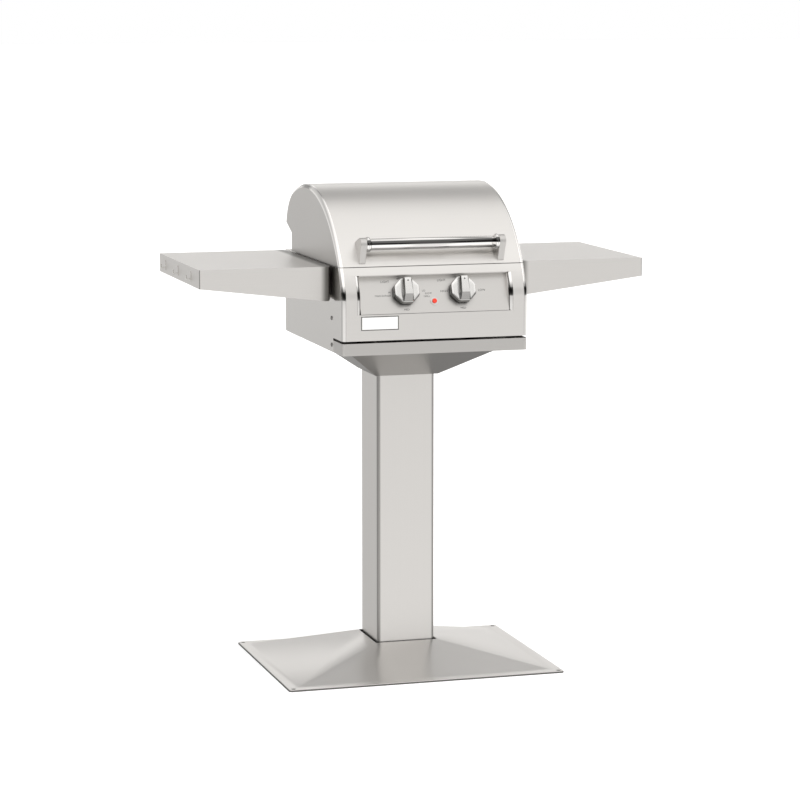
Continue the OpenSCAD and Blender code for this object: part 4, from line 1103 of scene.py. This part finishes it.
# %% Turn the collars
HANDLE_Z, HANDLE_OUT, RING_X, RING_R = 980, 32.5, 141, 17
HANDLE_Y = ARC_Y - math.sqrt(ARC_R ** 2 - (HANDLE_Z - ARC_Z) ** 2) - HANDLE_OUT
COLLAR = [
    (0, 0), (13.6, 0), (15.4, 0.5), (16.5, 1.8), (RING_R, 4), (RING_R, 5.4), (16.6, 7), (15.8, 8.2),
    (14.9, 9), (0, 9)]

collars = [placed(turned(COLLAR), (side * RING_X, HANDLE_Y, HANDLE_Z), (side, 0, 0)) for side in (-1, 1)]
# The collars take the handle's finish, so part of their dark crescents is its painted reflection.
handle_collars = add_piece("handle_collars", collars, handle_steel_painted_reflection, "lid", 35)
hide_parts("handle_rings")
print("collars", faces_of(handle_collars), "faces")

# %% Cast the handle's arms
FOOT_LOW, FOOT_HIGH, NOSE_R, ARM_X, ARM_W = 939, 983.5, 15, 150, 14
OFF_HOOD, FOOT_LIP = 0.05, 1.2


def foot_at(z):
    """A point just off the lid's skin at a height, as (depth, height)."""
    return ARC_Y - math.sqrt((ARC_R + OFF_HOOD) ** 2 - (z - ARC_Z) ** 2), z


def arm_outline():
    """The cast arm seen from the side: it hugs the lid, then narrows to a round nose about the bar."""
    foot = [foot_at(FOOT_LOW + (FOOT_HIGH - FOOT_LOW) * i / 10) for i in range(11)]
    nose = []
    for degrees in range(72, 196, 6):
        t = math.radians(degrees)
        nose.append((HANDLE_Y + NOSE_R * math.cos(t), HANDLE_Z + NOSE_R * math.sin(t)))
    (y0, z0), (y1, z1) = nose[-1], foot[0]
    under = [(y0 + (y1 - FOOT_LIP - y0) * (t / 6) ** 0.8, z0 + (z1 - z0) * t / 6) for t in range(1, 7)]
    return foot + nose + under


def upright_slab(outline, x0, x1):
    """A slab between two x places from an outline of (depth, height) pairs."""
    made = bmesh.new()
    near, far = ([made.verts.new((x * MM, y * MM, z * MM)) for y, z in outline] for x in (x0, x1))
    wall(made, near, far)
    made.faces.new(near[::-1])
    made.faces.new(far)
    bmesh.ops.recalc_face_normals(made, faces=made.faces)
    return made


arms = [upright_slab(arm_outline(), side * ARM_X, side * (ARM_X + ARM_W)) for side in (-1, 1)]
handle_arms = add_piece("handle_arms", arms, brushed_cap_painted_shade, "lid", 28)
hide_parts("handle_brackets")
bevel(handle_arms, "rounded", 1.4, 3, 50)
print("arms", faces_of(handle_arms), "faces")

# %% [markdown]
# ## The badge's border
# The badge is a small white plate at the front's lower left with a thin dark border, and it is
# left blank here. The border could be drawn in the plate's finish, but four thin bars give it a
# real edge and stay sharp in a close view.

# %% Frame the badge
BADGE_X, BADGE_Z, BADGE_W, BADGE_H, LINE_W = -168.4, 797.4, 84, 30.4, 1.9
BORDER_FRONT = FACE_Y - SHEET - 0.12
BORDER_BACK = FACE_Y - SHEET + 0.2


def bar(x0, z0, x1, z1):
    """A thin upright bar between two corners seen from the front."""
    made = bmesh.new()
    bmesh.ops.create_cube(made, size=1)
    low, high = Vector((x0, BORDER_FRONT, z0)), Vector((x1, BORDER_BACK, z1))
    to_middle = Matrix.Translation((low + high) / 2 * MM)
    to_size = Matrix.Diagonal((*((high - low) * MM), 1))
    bmesh.ops.transform(made, matrix=to_middle @ to_size, verts=made.verts)
    return made


right_x, top_z = BADGE_X + BADGE_W, BADGE_Z + BADGE_H
low_z, high_z = BADGE_Z + LINE_W, top_z - LINE_W
bars = [
    bar(BADGE_X, BADGE_Z, right_x, low_z),
    bar(BADGE_X, high_z, right_x, top_z),
    bar(BADGE_X, low_z, BADGE_X + LINE_W, high_z),
    bar(right_x - LINE_W, low_z, right_x, high_z),
]
badge_border = add_piece("badge_border", bars, dark_edge, "stand")
print("badge border", faces_of(badge_border), "faces")

bpy.context.view_layer.update()
